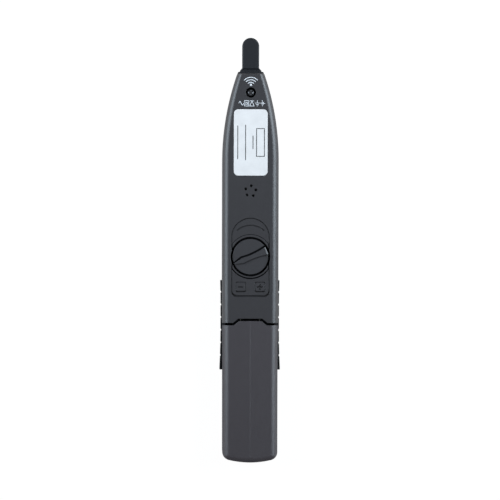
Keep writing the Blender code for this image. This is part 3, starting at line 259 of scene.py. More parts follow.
def soft_rubber(name, colour, roughness, grain):
    """Rubber with a dusty bloom over a fine grain."""
    material = moulded_plastic(name, colour, roughness, grain, grain_depth=0.18, specular=0.35)
    shader = material.node_tree.nodes["Principled BSDF"]
    shader.inputs["Sheen Weight"].default_value = BLOOM
    shader.inputs["Sheen Roughness"].default_value = BLOOM_ROUGHNESS
    return material


def add_block(shape, low, high):
    """A box between two corners, and its vertices."""
    low, high = Vector(low), Vector(high)
    verts = bmesh.ops.create_cube(shape, size=1.0)["verts"]
    bmesh.ops.scale(shape, vec=high - low, verts=verts)
    bmesh.ops.translate(shape, vec=(low + high) / 2, verts=verts)
    return verts


def edges_of(verts):
    """The edges that lie wholly among some vertices."""
    chosen = set(verts)
    found = {edge for vert in chosen for edge in vert.link_edges}
    return [edge for edge in found if chosen.issuperset(edge.verts)]


def round_off(shape, edges, radius, segments):
    """Rounds some edges of a bmesh."""
    bmesh.ops.bevel(
        shape, geom=edges, offset=radius, segments=segments, profile=0.5,
        affect="EDGES", material=-1, clamp_overlap=True,
    )


def ribbed_grip(side):
    """One grip: a backing strip and its ribs, then the flare at the tail end."""
    shape = bmesh.new()
    strip_top = GRIP_OUTER_X - GRIP_NOTCH_DEPTH
    top_y = GRIP_END_Y - GRIP_TOP_TRIM
    add_block(shape, (GRIP_INNER_X, GRIP_START_Y, GRIP_LOW_Z), (strip_top, top_y, GRIP_HIGH_Z))
    pitch = (GRIP_END_Y - GRIP_START_Y) / GRIP_RIBS
    for rib in range(GRIP_RIBS):
        start = GRIP_START_Y + rib * pitch + (GRIP_NOTCH / 2 if rib else -GRIP_LIP)
        stop = min(GRIP_START_Y + (rib + 1) * pitch - GRIP_NOTCH / 2, top_y)
        inner = GRIP_INNER_X if rib else GRIP_LIP_X
        add_block(shape, (inner, start, GRIP_LOW_Z), (GRIP_OUTER_X, stop, GRIP_HIGH_Z))
    spans = {edge: abs(edge.verts[0].co.y - edge.verts[1].co.y) for edge in shape.edges}
    lengthwise = [edge for edge, span in spans.items() if span > GRIP_NOTCH]
    bmesh.ops.subdivide_edges(shape, edges=lengthwise, cuts=GRIP_CUTS, use_grid_fill=True)
    for vert in shape.verts:
        if vert.co.x > (GRIP_INNER_X + GRIP_OUTER_X) / 2:
            from_tail = max(vert.co.y - GRIP_START_Y, 0.0) / GRIP_FLARE_LENGTH
            from_top = (GRIP_END_Y - vert.co.y) / GRIP_SWELL_LENGTH
            flare = GRIP_FLARE * max(1.0 - from_tail, 0.0) ** 2
            vert.co.x += flare + GRIP_SWELL * max(1.0 - from_top, 0.0)
    bmesh.ops.scale(shape, vec=(side, 1.0, 1.0), verts=shape.verts)
    bmesh.ops.recalc_face_normals(shape, faces=shape.faces)
    return shape


grip_rubber = soft_rubber("grip_rubber", GRIP_BLACK, roughness=0.62, grain=0.00025)
for name, side in (("grip_left", -1), ("grip_right", 1)):
    grip = add_piece(f"rubber_{name}", ribbed_grip(side), grip_rubber, "housing", "grip", name)
    ease_edges(grip, GRIP_ROUND)


# Front controls: a red rubber power button that pushes the switch plunger, and a red window
# of clear plastic with the indicator lamp behind it. Both sit in the front of the housing.
BUTTON_RED = (0.32, 0.030, 0.020)
LENS_RED = (0.45, 0.020, 0.012)
CONTROL_EASE = 0.00025
ACRYLIC_IOR = 1.49


def tinted_plastic(name, colour, roughness, clear):
    """Clear tinted plastic, with faint flow marks in its colour."""
    material = moulded_plastic(name, colour, roughness, grain=0.0012, grain_depth=0.02)
    shader = material.node_tree.nodes["Principled BSDF"]
    shader.inputs["Transmission Weight"].default_value = clear
    shader.inputs["IOR"].default_value = ACRYLIC_IOR
    return material


button_rubber = soft_rubber("button_rubber", BUTTON_RED, roughness=0.55, grain=0.00030)
button = add_piece(
    "button_cap", welded_copy("power_button"), button_rubber, "button", "button", "power_button"
)
ease_edges(button, CONTROL_EASE)
lens_acrylic = tinted_plastic("lens_acrylic", LENS_RED, roughness=0.12, clear=0.55)
lens = add_piece(
    "lens_window", welded_copy("indicator_lens"), lens_acrylic, "housing", "lens", "indicator_lens"
)
ease_edges(lens, CONTROL_EASE)


# Circuit board: green fibreglass laminate with the parts soldered to it. All of it is closed
# in by the shells, so the solids stay and take the finish of the real parts.
MASK_GREEN = (0.015, 0.13, 0.045)
EPOXY_BLACK = (0.018, 0.018, 0.020)
LAMP_RED = (0.70, 0.06, 0.04)
ALUMINIUM = (0.72, 0.72, 0.70)
BRASS = (0.72, 0.50, 0.18)
LINE_SHADE = 0.82
LINE_GLOSS = 0.08
LINE_DEPTH = 0.0001


def paint_node(node, material):
    """Gives a CAD node its finish."""
    slots = frame["nodes"][node].data.materials
    slots.clear()
    slots.append(material)


def worked_metal(name, colour, roughness, lay, scale):
    """Bare metal with fine lines along the way it was drawn or turned."""
    material, nodes, link, shader = new_finish(name)
    shader["Metallic"].default_value = 1.0
    place = nodes.new("ShaderNodeTexCoord")
    stretch = add_node(nodes, "ShaderNodeMapping", Scale=lay)
    link(place.outputs["Object"], stretch.inputs["Vector"])
    lines = add_node(nodes, "ShaderNodeTexNoise", Scale=scale, Detail=3.0)
    link(stretch.outputs["Vector"], lines.inputs["Vector"])
    tone = shade_mix(nodes, colour, LINE_SHADE, 1.0)
    gloss = gloss_range(nodes, roughness, LINE_GLOSS)
    bump = add_node(nodes, "ShaderNodeBump", Strength=0.05, Distance=LINE_DEPTH)
    for node, goal in ((tone, "Factor"), (gloss, "Value"), (bump, "Height")):
        link(lines.outputs["Fac"], node.inputs[goal])
    link(tone.outputs["Result"], shader["Base Color"])
    link(gloss.outputs["Result"], shader["Roughness"])
    link(bump.outputs["Normal"], shader["Normal"])
    return material


solder_mask = moulded_plastic("solder_mask", MASK_GREEN, roughness=0.32, grain=0.0006)
black_epoxy = moulded_plastic("black_epoxy", EPOXY_BLACK, roughness=0.50, grain=0.00020)
lamp_epoxy = tinted_plastic("lamp_epoxy", LAMP_RED, roughness=0.15, clear=0.40)
drawn_aluminium = worked_metal(
    "drawn_aluminium", ALUMINIUM, roughness=0.30, lay=(1.0, 1.0, 12.0), scale=900.0
)
stamped_brass = worked_metal(
    "stamped_brass", BRASS, roughness=0.28, lay=(1.0, 10.0, 1.0), scale=700.0
)
paint_node("circuit_board", solder_mask)
for node in ("piezo_buzzer", "detector_chip", "tact_switch", "level_pot"):
    paint_node(node, black_epoxy)
for node in ("filter_capacitor", "switch_plunger", "pot_shaft"):
    paint_node(node, drawn_aluminium)
paint_node("indicator_led", lamp_epoxy)
paint_node("sensor_plate", stamped_brass)


# Battery cells: two AAA cells, head to tail, each a drawn steel can in a printed plastic
# jacket with a pale band at its plus end. They lie in the cradles of the front shell.
CELL_RADIUS = 0.00525
CELL_LENGTH = 0.0445
CELL_JACKET_BLUE = (0.030, 0.075, 0.20)
CELL_BAND_SILVER = (0.52, 0.53, 0.55)
CELL_NUB_RADIUS = 0.0019
CELL_NUB_HEIGHT = 0.0010
CELL_RIM_ROUND = 0.0004
CELL_RIM_STEPS = 3
CELL_BAND_SHARE = 0.72
CELL_SIDES = 48
CELL_EASE = 0.0001
PRINT_GRAIN = 0.15


def jacket_finish(name, nub_y, tail_y):
    """Printed jacket film: one colour with a band towards the plus end, and fine print grain."""
    material = moulded_plastic(
        name, CELL_JACKET_BLUE, roughness=0.30, grain=0.0005, grain_depth=0.03
    )
    nodes = material.node_tree.nodes
    link = material.node_tree.links.new
    place = nodes.new("ShaderNodeTexCoord")
    parts = nodes.new("ShaderNodeSeparateXYZ")
    link(place.outputs["Object"], parts.inputs["Vector"])
    share = add_node(nodes, "ShaderNodeMapRange", From_Min=tail_y, From_Max=nub_y)
    link(parts.outputs["Y"], share.inputs["Value"])
    bands = nodes.new("ShaderNodeValToRGB")
    bands.color_ramp.interpolation = "CONSTANT"
    bands.color_ramp.elements[0].color = (*CELL_JACKET_BLUE, 1.0)
    bands.color_ramp.elements[1].position = CELL_BAND_SHARE
    bands.color_ramp.elements[1].color = (*CELL_BAND_SILVER, 1.0)
    link(share.outputs["Result"], bands.inputs["Fac"])
    print_tone = nodes.new("ShaderNodeMix")
    print_tone.data_type = "RGBA"
    print_tone.blend_type = "MULTIPLY"
    print_tone.inputs["Factor"].default_value = PRINT_GRAIN
    link(bands.outputs["Color"], print_tone.inputs["A"])
    link(nodes["Noise Texture"].outputs["Color"], print_tone.inputs["B"])
    link(print_tone.outputs["Result"], nodes["Principled BSDF"].inputs["Base Color"])
    return material


def raise_faces(shape, faces, height):
    """Extrudes some faces straight up."""
    raised = bmesh.ops.extrude_face_region(shape, geom=faces)["geom"]
    top = [part for part in raised if isinstance(part, bmesh.types.BMVert)]
    bmesh.ops.translate(shape, vec=(0.0, 0.0, height), verts=top)


def lay_along(shape, node, forward, start=0.0):
    """Lays a shape that stands on the origin down along its CAD node, from either end."""
    low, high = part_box(node)
    centre = (low + high) / 2
    turn = Matrix.Rotation(-math.pi / 2 if forward else math.pi / 2, 3, "X")
    bmesh.ops.rotate(shape, matrix=turn, verts=shape.verts)
    start_y = low.y + start if forward else high.y - start
    bmesh.ops.translate(shape, vec=(centre.x, start_y, centre.z), verts=shape.verts)
    bmesh.ops.recalc_face_normals(shape, faces=shape.faces)
    return shape


def cell_can(node, nub_up):
    """One cell: a round can with soft rims and the plus nub at one end."""
    shape = bmesh.new()
    height = CELL_LENGTH - CELL_NUB_HEIGHT
    can = bmesh.ops.create_cone(
        shape, cap_ends=True, segments=CELL_SIDES,
        radius1=CELL_RADIUS, radius2=CELL_RADIUS, depth=height,
    )["verts"]
    bmesh.ops.translate(shape, vec=(0.0, 0.0, height / 2), verts=can)
    rims = [edge for edge in shape.edges if len({round(vert.co.z, 6) for vert in edge.verts}) == 1]
    round_off(shape, rims, CELL_RIM_ROUND, CELL_RIM_STEPS)
    top = max(shape.faces, key=lambda face: face.calc_center_median().z)
    inset = CELL_RADIUS - CELL_RIM_ROUND - CELL_NUB_RADIUS
    bmesh.ops.inset_region(shape, faces=[top], thickness=inset, use_even_offset=True)
    raise_faces(shape, [top], CELL_NUB_HEIGHT)
    bmesh.ops.delete(shape, geom=[top], context="FACES_ONLY")
    return lay_along(shape, node, nub_up)


for node, nub_up in (("battery_cell_left", True), ("battery_cell_right", False)):
    low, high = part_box(node)
    ends = (high.y, low.y) if nub_up else (low.y, high.y)
    jacket = jacket_finish(f"{node}_jacket", *ends)
    cell = add_piece(f"{node}_can", cell_can(node, nub_up), jacket, "housing", "cell", node)
    ease_edges(cell, CELL_EASE)


# Battery contacts: nickel-plated steel plates, and two conical springs wound from wire that
# hold the cells against them.
SPRING_WIRE = 0.00055
SPRING_BASE_RADIUS = 0.0032
SPRING_TOP_RADIUS = 0.0022
SPRING_TURNS = 4
SPRING_STEPS = 28
WIRE_SIDES = 12
NICKEL = (0.70, 0.69, 0.66)

plated_steel = worked_metal(
    "plated_steel", NICKEL, roughness=0.26, lay=(1.0, 1.0, 8.0), scale=800.0
)
for node in ("bridge_contact", "positive_contact", "negative_contact"):
    paint_node(node, plated_steel)


def conical_spring(node, base_at_start):
    """One spring: a round wire section swept up a helix that narrows towards the cell."""
    low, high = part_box(node)
    length = high.y - low.y - SPRING_WIRE
    shape = bmesh.new()
    section = bmesh.ops.create_circle(shape, segments=WIRE_SIDES, radius=SPRING_WIRE / 2)["verts"]
    bmesh.ops.rotate(shape, matrix=Matrix.Rotation(math.pi / 2, 3, "X"), verts=section)
    bmesh.ops.translate(shape, vec=(SPRING_BASE_RADIUS, 0.0, 0.0), verts=section)
    steps = SPRING_TURNS * SPRING_STEPS
    bmesh.ops.spin(
        shape, geom=shape.edges[:], cent=(0.0, 0.0, 0.0), axis=(0.0, 0.0, 1.0),
        dvec=(0.0, 0.0, length / steps), angle=2 * math.pi * SPRING_TURNS, steps=steps,
    )
    for vert in shape.verts:
        share = min(max(vert.co.z / length, 0.0), 1.0)
        narrowed = 1.0 + (SPRING_TOP_RADIUS / SPRING_BASE_RADIUS - 1.0) * share
        vert.co.x *= narrowed
        vert.co.y *= narrowed
    bmesh.ops.holes_fill(shape, edges=[edge for edge in shape.edges if edge.is_boundary], sides=0)
    return lay_along(shape, node, base_at_start, SPRING_WIRE / 2)


for node, base_at_start in (("spring_left", True), ("spring_right", False)):
    spring = conical_spring(node, base_at_start)
    add_piece(f"wound_{node}", spring, plated_steel, "housing", "contact", node)


# Sensor tip: a flat finger of smooth black plastic over the brass sensor plate. Its collar
# covers the seam, and its root is trapped between the two shells.
TIP_BLACK = (0.015, 0.016, 0.019)
TIP_HALF = 0.0038
TIP_THICKNESS = 0.0050
TIP_Z = 0.01245
TIP_ROOT_Y = 0.0760
TIP_END_Y = 0.0950
TIP_ROUND = 0.0006
TIP_ROUND_STEPS = 5
TIP_END_STEPS = 20
TIP_MERGE = 0.00002
NEARLY_FULL = 0.999
COLLAR_CORNER = 0.0006
COLLAR_STEPS = 5
FLANGE = ((0.07895, 0.0059, 0.0041), (0.0796, 0.0056, 0.0039))
COLLAR = ((0.0797, 0.0049, 0.0036), (0.0804, 0.0047, 0.0033))
NECK = ((0.0805, 0.0046, 0.0019), (0.0814, 0.0039, 0.0016))
NECK_END_Y = 0.0809
NECK_DEPTH = 0.0009
NECK_SIDE = 0.00006
ROOT_HALF = 0.0045
ROOT_DEPTH = 0.0035
ROOT_END_Y = 0.0772
PLATE_SLOT_HALF = 0.0025
PLATE_SLOT_DEPTH = 0.00055
PLATE_SLOT_END_Y = 0.0913


def upright_edges(verts):
    """The edges among some vertices that run along Z."""
    return [edge for edge in edges_of(verts) if edge.verts[0].co.z != edge.verts[1].co.z]


def finger():
    """The finger, with a round end and soft rims."""
    shape = bmesh.new()
    low = (-TIP_HALF, NECK_END_Y, TIP_Z - TIP_THICKNESS / 2)
    verts = add_block(shape, low, (TIP_HALF, TIP_END_Y, TIP_Z + TIP_THICKNESS / 2))
    outer = [edge for edge in upright_edges(verts) if edge.verts[0].co.y > NECK_END_Y + TIP_HALF]
    round_off(shape, outer, TIP_HALF * NEARLY_FULL, TIP_END_STEPS)
    bmesh.ops.remove_doubles(shape, verts=shape.verts, dist=TIP_MERGE)
    flats = [face for face in shape.faces if abs(face.normal.z) > 0.9]
    rims = {edge for face in flats for edge in face.edges}
    round_off(shape, list(rims), TIP_ROUND, TIP_ROUND_STEPS)
    return shape


def soft_ring(shape, y, half, depth):
    """The edges of an upright rectangle round the finger, with round corners."""
    verts = []
    for quarter, (across, up) in enumerate(((1, 1), (-1, 1), (-1, -1), (1, -1))):
        for step in range(COLLAR_STEPS + 1):
            angle = math.pi / 2 * (quarter + step / COLLAR_STEPS)
            x = across * (half - COLLAR_CORNER) + COLLAR_CORNER * math.cos(angle)
            z = up * (depth - COLLAR_CORNER) + COLLAR_CORNER * math.sin(angle)
            verts.append(shape.verts.new((x, y, TIP_Z + z)))
    return [shape.edges.new(pair) for pair in zip(verts, verts[1:] + verts[:1])]


def loft(shape, loops):
    """Joins closed loops of edges, one after another, with bands of faces."""
    for lower, upper in zip(loops, loops[1:]):
        bmesh.ops.bridge_loops(shape, edges=lower + upper)


def collar():
    """The collar at the foot of the finger: a flange on the seam, a band and a low neck."""
    shape = bmesh.new()
    rings = [soft_ring(shape, *station) for station in FLANGE + COLLAR + NECK]
    loft(shape, rings)
    for ring in (rings[0], rings[-1]):
        bmesh.ops.contextual_create(shape, geom=ring)
    return shape


def block(low, high):
    """A plain box as a bmesh of its own, to carve with."""
    shape = bmesh.new()
    add_block(shape, low, high)
    return shape


def carve(piece, shape, operation="DIFFERENCE", painted_shade=None):
    """Cuts a shape out of a piece or joins it on, with painted shade on the cut if given, and drops
    the tool.
    """
    bmesh.ops.recalc_face_normals(shape, faces=shape.faces)
    tool = as_object("tool", shape)
    step = piece.modifiers.new("Carve", "BOOLEAN")
    if painted_shade:
        tool.data.materials.append(painted_shade)
        step.material_mode = "TRANSFER"
    step.operation = operation
    step.solver = "EXACT"
    step.object = tool
    bpy.context.view_layer.update()
    carved = piece.evaluated_get(bpy.context.evaluated_depsgraph_get())
    mesh = bpy.data.meshes.new_from_object(carved)
    piece.modifiers.clear()
    piece.data = mesh
    mesh.shade_smooth()
    bpy.data.objects.remove(tool)


tip_plastic = moulded_plastic(
    "tip_plastic", TIP_BLACK, roughness=0.45, grain=0.00050,
    grain_depth=0.05, specular=0.35, ease=MOULD_EASE,
)
tip = add_piece("tip_finger", finger(), tip_plastic, "housing", "tip", "sensor_tip")
carve(tip, collar(), "UNION")
core_half, core_depth = TIP_HALF - NECK_SIDE, TIP_THICKNESS / 2 - NECK_DEPTH
core_low = (-core_half, TIP_ROOT_Y, TIP_Z - core_depth)
carve(tip, block(core_low, (core_half, NECK_END_Y + TIP_HALF, TIP_Z + core_depth)), "UNION")
root_low = (-ROOT_HALF, TIP_ROOT_Y, TIP_Z - ROOT_DEPTH)
carve(tip, block(root_low, (ROOT_HALF, ROOT_END_Y, TIP_Z + ROOT_DEPTH)), "UNION")
slot_low = (-PLATE_SLOT_HALF, TIP_ROOT_Y - TIP_ROUND, TIP_Z - PLATE_SLOT_DEPTH)
carve(tip, block(slot_low, (PLATE_SLOT_HALF, PLATE_SLOT_END_Y, TIP_Z + PLATE_SLOT_DEPTH)))
crisp_edges(tip)


# Rear shell: the upper half of the housing above the battery cover, in the same plastic.
# Its back is one flat face with rounded sides, and its nose draws in along two arcs.
TAIL_Y = -0.0950
TAIL_ARC = 0.0420
TAIL_CORNER = 0.0034
TAIL_HALF = 0.0123
BODY_HALF = 0.0126
NOSE_START_Y = 0.0400
NOSE_END_Y = 0.0789
NOSE_END_HALF = 0.0060
NOSE_SHOULDER = 0.0010
NOSE_DRAFT = 0.0005
NOSE_SIDE_SHARE = 0.78
TAIL_SLOPE = 0.0022
TAIL_DROP = 0.00070
LEAST_RADIUS = 0.0003
BACK_Z = 0.01996
PARTING_Z = 0.01015
BACK_ROUND = 0.0031
ROUND_STEPS = 16
WALL = 0.0014
ARC_STEPS = 28
CORNER_STEPS = 8


def sweep(shape, vert, centre, angle, steps):
    """Draws an arc on from a vertex, and returns its last vertex."""
    swept = bmesh.ops.spin(
        shape, geom=[vert], cent=centre, axis=(0.0, 0.0, 1.0), angle=angle, steps=steps
    )["geom_last"]
    return next(part for part in swept if isinstance(part, bmesh.types.BMVert))


def draw_to(shape, vert, point):
    """Draws a straight line on from a vertex, and returns its last vertex."""
    drawn = bmesh.ops.extrude_vert_indiv(shape, verts=[vert])["verts"][0]
    drawn.co = point
    return drawn


def tail_inset(depth):
    """How far the tail end is drawn in at a depth below the back, where it falls off gently."""
    radius = (TAIL_SLOPE ** 2 + TAIL_DROP ** 2) / (2 * TAIL_DROP)
    fall = radius - min(depth, TAIL_DROP)
    return TAIL_SLOPE - math.sqrt(radius ** 2 - fall ** 2)


def housing_loop(shape, inset, height):
    """One closed outline of the housing at a height, drawn in by an inset."""
    known = set(shape.verts)
    tail_in = tail_inset(BACK_Z - height)
    corner = max(TAIL_CORNER - inset, LEAST_RADIUS)
    tail_radius = TAIL_ARC - inset - corner
    across = TAIL_HALF - inset - corner
    lean = math.asin(across / tail_radius)
    tail_centre = Vector((0.0, TAIL_Y + TAIL_ARC - inset + tail_in, height))
    corner_centre = tail_centre + Vector((across, -tail_radius * math.cos(lean), 0.0))
    vert = shape.verts.new((0.0, TAIL_Y + tail_in, height))
    vert = sweep(shape, vert, tail_centre, lean, CORNER_STEPS)
    vert = sweep(shape, vert, corner_centre, math.pi / 2 - lean, CORNER_STEPS)
    vert = draw_to(shape, vert, (TAIL_HALF - inset, GRIP_START_Y, height))
    vert = draw_to(shape, vert, (BODY_HALF - inset, GRIP_END_Y, height))
    vert = draw_to(shape, vert, (BODY_HALF - inset, NOSE_START_Y, height))
    drop = BODY_HALF - NOSE_END_HALF - inset * (1 - NOSE_SIDE_SHARE)
    reach = NOSE_END_Y - NOSE_START_Y
    nose_radius = (reach ** 2 + drop ** 2) / (2 * drop)
    nose_centre = Vector((BODY_HALF - inset - nose_radius, NOSE_START_Y, height))
    shoulder = max(NOSE_SHOULDER - inset, LEAST_RADIUS)
    rise = reach - shoulder - NOSE_DRAFT * max(1 - (BACK_Z - height) / BACK_ROUND, 0.0)
    run = math.sqrt((nose_radius - shoulder) ** 2 - rise ** 2)
    turn = math.atan2(rise, run)
    vert = sweep(shape, vert, nose_centre, turn, ARC_STEPS)
    shoulder_centre = nose_centre + Vector((run, rise, 0.0))
    vert = sweep(shape, vert, shoulder_centre, math.pi / 2 - turn, CORNER_STEPS)
    half = [part for part in shape.verts if part not in known]
    bmesh.ops.mirror(shape, geom=half + edges_of(half), merge_dist=LEAST_RADIUS / 10, axis="X")
    loop = [part for part in shape.verts if part not in known]
    ends = sorted(loop, key=lambda part: part.co.y)[-2:]
    shape.edges.new(ends)
    return edges_of(loop)


def back_shell():
    """The whole back: upright sides, rounded edge and flat face, open towards the front shell."""
    layers = [(0.0, BACK_Z - PARTING_Z)]
    for step in range(ROUND_STEPS + 1):
        angle = math.pi / 2 * step / ROUND_STEPS
        layers.append((BACK_ROUND * (1 - math.cos(angle)), BACK_ROUND * (1 - math.sin(angle))))
    shape = bmesh.new()
    loops = [housing_loop(shape, inset, BACK_Z - depth) for inset, depth in layers]
    loft(shape, loops)
    bmesh.ops.contextual_create(shape, geom=loops[-1])
    bmesh.ops.recalc_face_normals(shape, faces=shape.faces)
    bmesh.ops.solidify(shape, geom=shape.faces[:], thickness=WALL)
    bmesh.ops.recalc_face_normals(shape, faces=shape.faces)
    return shape


rear = add_piece("rear_moulding", back_shell(), housing_plastic, "housing", "housing", "rear_shell")


# The line between the rear shell and the battery cover: straight at the sides, with a low
# tongue in the middle. Each side of it gives up half of the gap. Deep cuts, and the parts seen
# through them, get a near-black matt colour, which is painted shade for the dark inside them.
PAINTED_SHADE_BLACK = (0.008, 0.008, 0.009)
COVER_LINE_Y = -0.0332
COVER_GAP = 0.0011
TONGUE_RISE = 0.0019
TONGUE_TOP_HALF = 0.0052
TONGUE_BASE_HALF = 0.0075
CUT_PAST = 0.0010


def across_line(shift, far_y):
    """Everything on one side of the cover line, as a solid to cut with."""
    base_y = COVER_LINE_Y + shift
    past = BODY_HALF + CUT_PAST
    mitre = shift * math.tan(math.atan2(TONGUE_RISE, TONGUE_BASE_HALF - TONGUE_TOP_HALF) / 2)
    shape = bmesh.new()
    right = [
        (past, far_y),
        (past, base_y),
        (TONGUE_BASE_HALF + mitre, base_y),
        (TONGUE_TOP_HALF + mitre, base_y + TONGUE_RISE),
    ]
    half = [shape.verts.new((x, y, 0.0)) for x, y in right]
    other = [shape.verts.new((-x, y, 0.0)) for x, y in reversed(right)]
    face = bmesh.ops.contextual_create(shape, geom=half + other)["faces"]
    raise_faces(shape, face, BACK_Z + CUT_PAST)
    return shape


# Painted shade: a near-black colour for cut faces and hidden parts, which are dark only in shadow.
painted_shade_plastic = moulded_plastic(
    "painted_shade_plastic", PAINTED_SHADE_BLACK, roughness=0.7, grain=GRAIN_SIZE, specular=0.1
)
carve(rear, across_line(COVER_GAP / 2, TAIL_Y - CUT_PAST), painted_shade=painted_shade_plastic)


# Screw bracket: an arm of the rear shell that reaches down and under the battery cover, so
# that the second housing screw can pull the two shells together there.
BRACKET_HALF = 0.0034
BRACKET_LOW_Y = -0.0385
BRACKET_WEB_Y = -0.0307
BRACKET_HIGH_Y = -0.0291
BRACKET_LOW_Z = 0.0122
BRACKET_TOP_Z = 0.0138
BAY_SCREW_Y = -0.0351

# The arms take the painted shade, as they show through the cover gap.
for low_y, top_z in ((BRACKET_LOW_Y, BRACKET_TOP_Z), (BRACKET_WEB_Y, BACK_Z - WALL / 2)):
    arm = block((-BRACKET_HALF, low_y, BRACKET_LOW_Z), (BRACKET_HALF, BRACKET_HIGH_Y, top_z))
    carve(rear, arm, "UNION", painted_shade_plastic)


# Dial panel: a sunk panel with a round top and a groove round it, which is widest at its foot.
# In it are the ring round the dial's well, a swept level mark and the signs for less and more.
PANEL_HALF = 0.00855
PANEL_LOW_Y = -0.0211
PANEL_HIGH_Y = 0.0142
PANEL_CORNER = 0.0024
PANEL_MERGE = 0.00003
PANEL_Z = 0.0196
DIAL_Y = -0.0031
PANEL_GROOVE = 0.00028
PANEL_FOOT_GROOVE = 0.00080
PANEL_MARGIN = 0.0008
PANEL_BASE_Z = 0.0172
GROOVE_Z = 0.0180
RING_RADIUS = 0.0100
RING_GROOVE = 0.00038
RING_Z = 0.0195
RING_GROOVE_Z = 0.0178
RING_RISE = 0.00020
WELL_RADIUS = 0.00885
WELL_OUTER_RADIUS = 0.0104
WELL_FLOOR_Z = 0.0166
WELL_BASE_Z = 0.0153
HUB_HOLE_RADIUS = 0.0033
SIGN_X = 0.0043
SIGN_Y = -0.01665
SIGN_HALF = 0.0023
SIGN_CORNER = 0.0006
SIGN_STEPS = 4
SIGN_GROOVE = 0.00022
SIGN_FOOT_GROOVE = 0.00055
SIGN_TOP_Z = 0.0195
SIGN_BAR_LONG = 0.0013
SIGN_BAR_SHORT = 0.00028
LEVEL_Y = 0.0017
LEVEL_RADIUS = 0.0092
LEVEL_WIDTH = 0.00045
LEVEL_DEPTH = 0.0009
LEVEL_START = math.radians(48)
LEVEL_SWEEP = math.radians(85)
ROUND_SIDES = 96


def add_rod(shape, radius, centre, low, high, sides=ROUND_SIDES):
    """An upright cylinder between two heights, and its vertices."""
    verts = bmesh.ops.create_cone(
        shape, cap_ends=True, segments=sides, radius1=radius, radius2=radius, depth=high - low
    )["verts"]
    bmesh.ops.translate(shape, vec=(*centre, (low + high) / 2), verts=verts)
    return verts


def rod(radius, centre, low, high, sides=ROUND_SIDES):
    """An upright cylinder as a bmesh of its own, to carve with."""
    shape = bmesh.new()
    add_rod(shape, radius, centre, low, high, sides)
    return shape


def rounded_block(low, high, radius, steps=CORNER_STEPS):
    """A box with its four upright edges rounded."""
    shape = bmesh.new()
    round_off(shape, upright_edges(add_block(shape, low, high)), radius, steps)
    return shape


def panel_shape(inset, foot_inset, low_z, high_z):
    """The panel drawn in by a groove: small corners at its foot and a half-round head."""
    half = PANEL_HALF - inset
    shape = bmesh.new()
    low = (-half, PANEL_LOW_Y + foot_inset, low_z)
    upright = upright_edges(add_block(shape, low, (half, PANEL_HIGH_Y - inset, high_z)))
    foot = [edge for edge in upright if edge.verts[0].co.y < DIAL_Y]
    head = [edge for edge in upright if edge.verts[0].co.y > DIAL_Y]
    round_off(shape, foot, PANEL_CORNER, CORNER_STEPS)
    round_off(shape, head, half * NEARLY_FULL, ARC_STEPS)
    bmesh.ops.remove_doubles(shape, verts=shape.verts, dist=PANEL_MERGE)
    return shape


def ring_shape(inset, rise, low_z, high_z):
    """The ring round the dial, flattened where it meets the panel's sides."""
    shape = rod(RING_RADIUS - inset, (0.0, DIAL_Y + rise), low_z, high_z)
    limit = PANEL_HALF - PANEL_GROOVE / 2 - inset
    for vert in shape.verts:
        vert.co.x = min(max(vert.co.x, -limit), limit)
    return shape


def level_mark():
    """The level mark: a narrow slot swept in an arc over the dial."""
    shape = bmesh.new()
    corners = [(-1, -1), (1, -1), (1, 1), (-1, 1)]
    section = [
        shape.verts.new((LEVEL_RADIUS + side * LEVEL_WIDTH / 2, 0.0, PANEL_Z + up * LEVEL_DEPTH))
        for side, up in corners
    ]
    bmesh.ops.contextual_create(shape, geom=section)
    bmesh.ops.delete(shape, geom=shape.faces[:], context="FACES_ONLY")
    bmesh.ops.rotate(shape, matrix=Matrix.Rotation(LEVEL_START, 3, "Z"), verts=section)
    bmesh.ops.spin(
        shape, geom=shape.edges[:], cent=(0.0, 0.0, 0.0), axis=(0.0, 0.0, 1.0),
        angle=LEVEL_SWEEP, steps=ARC_STEPS,
    )
    bmesh.ops.holes_fill(shape, edges=[edge for edge in shape.edges if edge.is_boundary], sides=0)
    bmesh.ops.translate(shape, vec=(0.0, LEVEL_Y, 0.0), verts=shape.verts)
    return shape


def sign_block(side, inset, foot_inset, low_z, high_z):
    """One of the two rounded squares under the dial."""
    low = (side * SIGN_X - SIGN_HALF + inset, SIGN_Y - SIGN_HALF + foot_inset, low_z)
    high = (side * SIGN_X + SIGN_HALF - inset, SIGN_Y + SIGN_HALF - inset, high_z)
    return rounded_block(low, high, SIGN_CORNER, SIGN_STEPS)


def sign_bar(side, half_x, half_y):
    """One bar of a sign, as a shallow slot in its square."""
    low = (side * SIGN_X - half_x, SIGN_Y - half_y, BACK_Z - WALL)
    return block(low, (side * SIGN_X + half_x, SIGN_Y + half_y, BACK_Z))


dial_place = (0.0, DIAL_Y)
inside_z, above_z = BACK_Z - WALL / 2, BACK_Z + CUT_PAST
carve(rear, rod(WELL_OUTER_RADIUS, dial_place, WELL_BASE_Z, inside_z), "UNION")
carve(rear, panel_shape(-PANEL_MARGIN, -PANEL_MARGIN, PANEL_BASE_Z, inside_z), "UNION")
carve(rear, panel_shape(0.0, 0.0, GROOVE_Z, above_z))
panel_foot_z = PANEL_BASE_Z + WALL / 2
carve(rear, panel_shape(PANEL_GROOVE, PANEL_FOOT_GROOVE, panel_foot_z, PANEL_Z), "UNION")
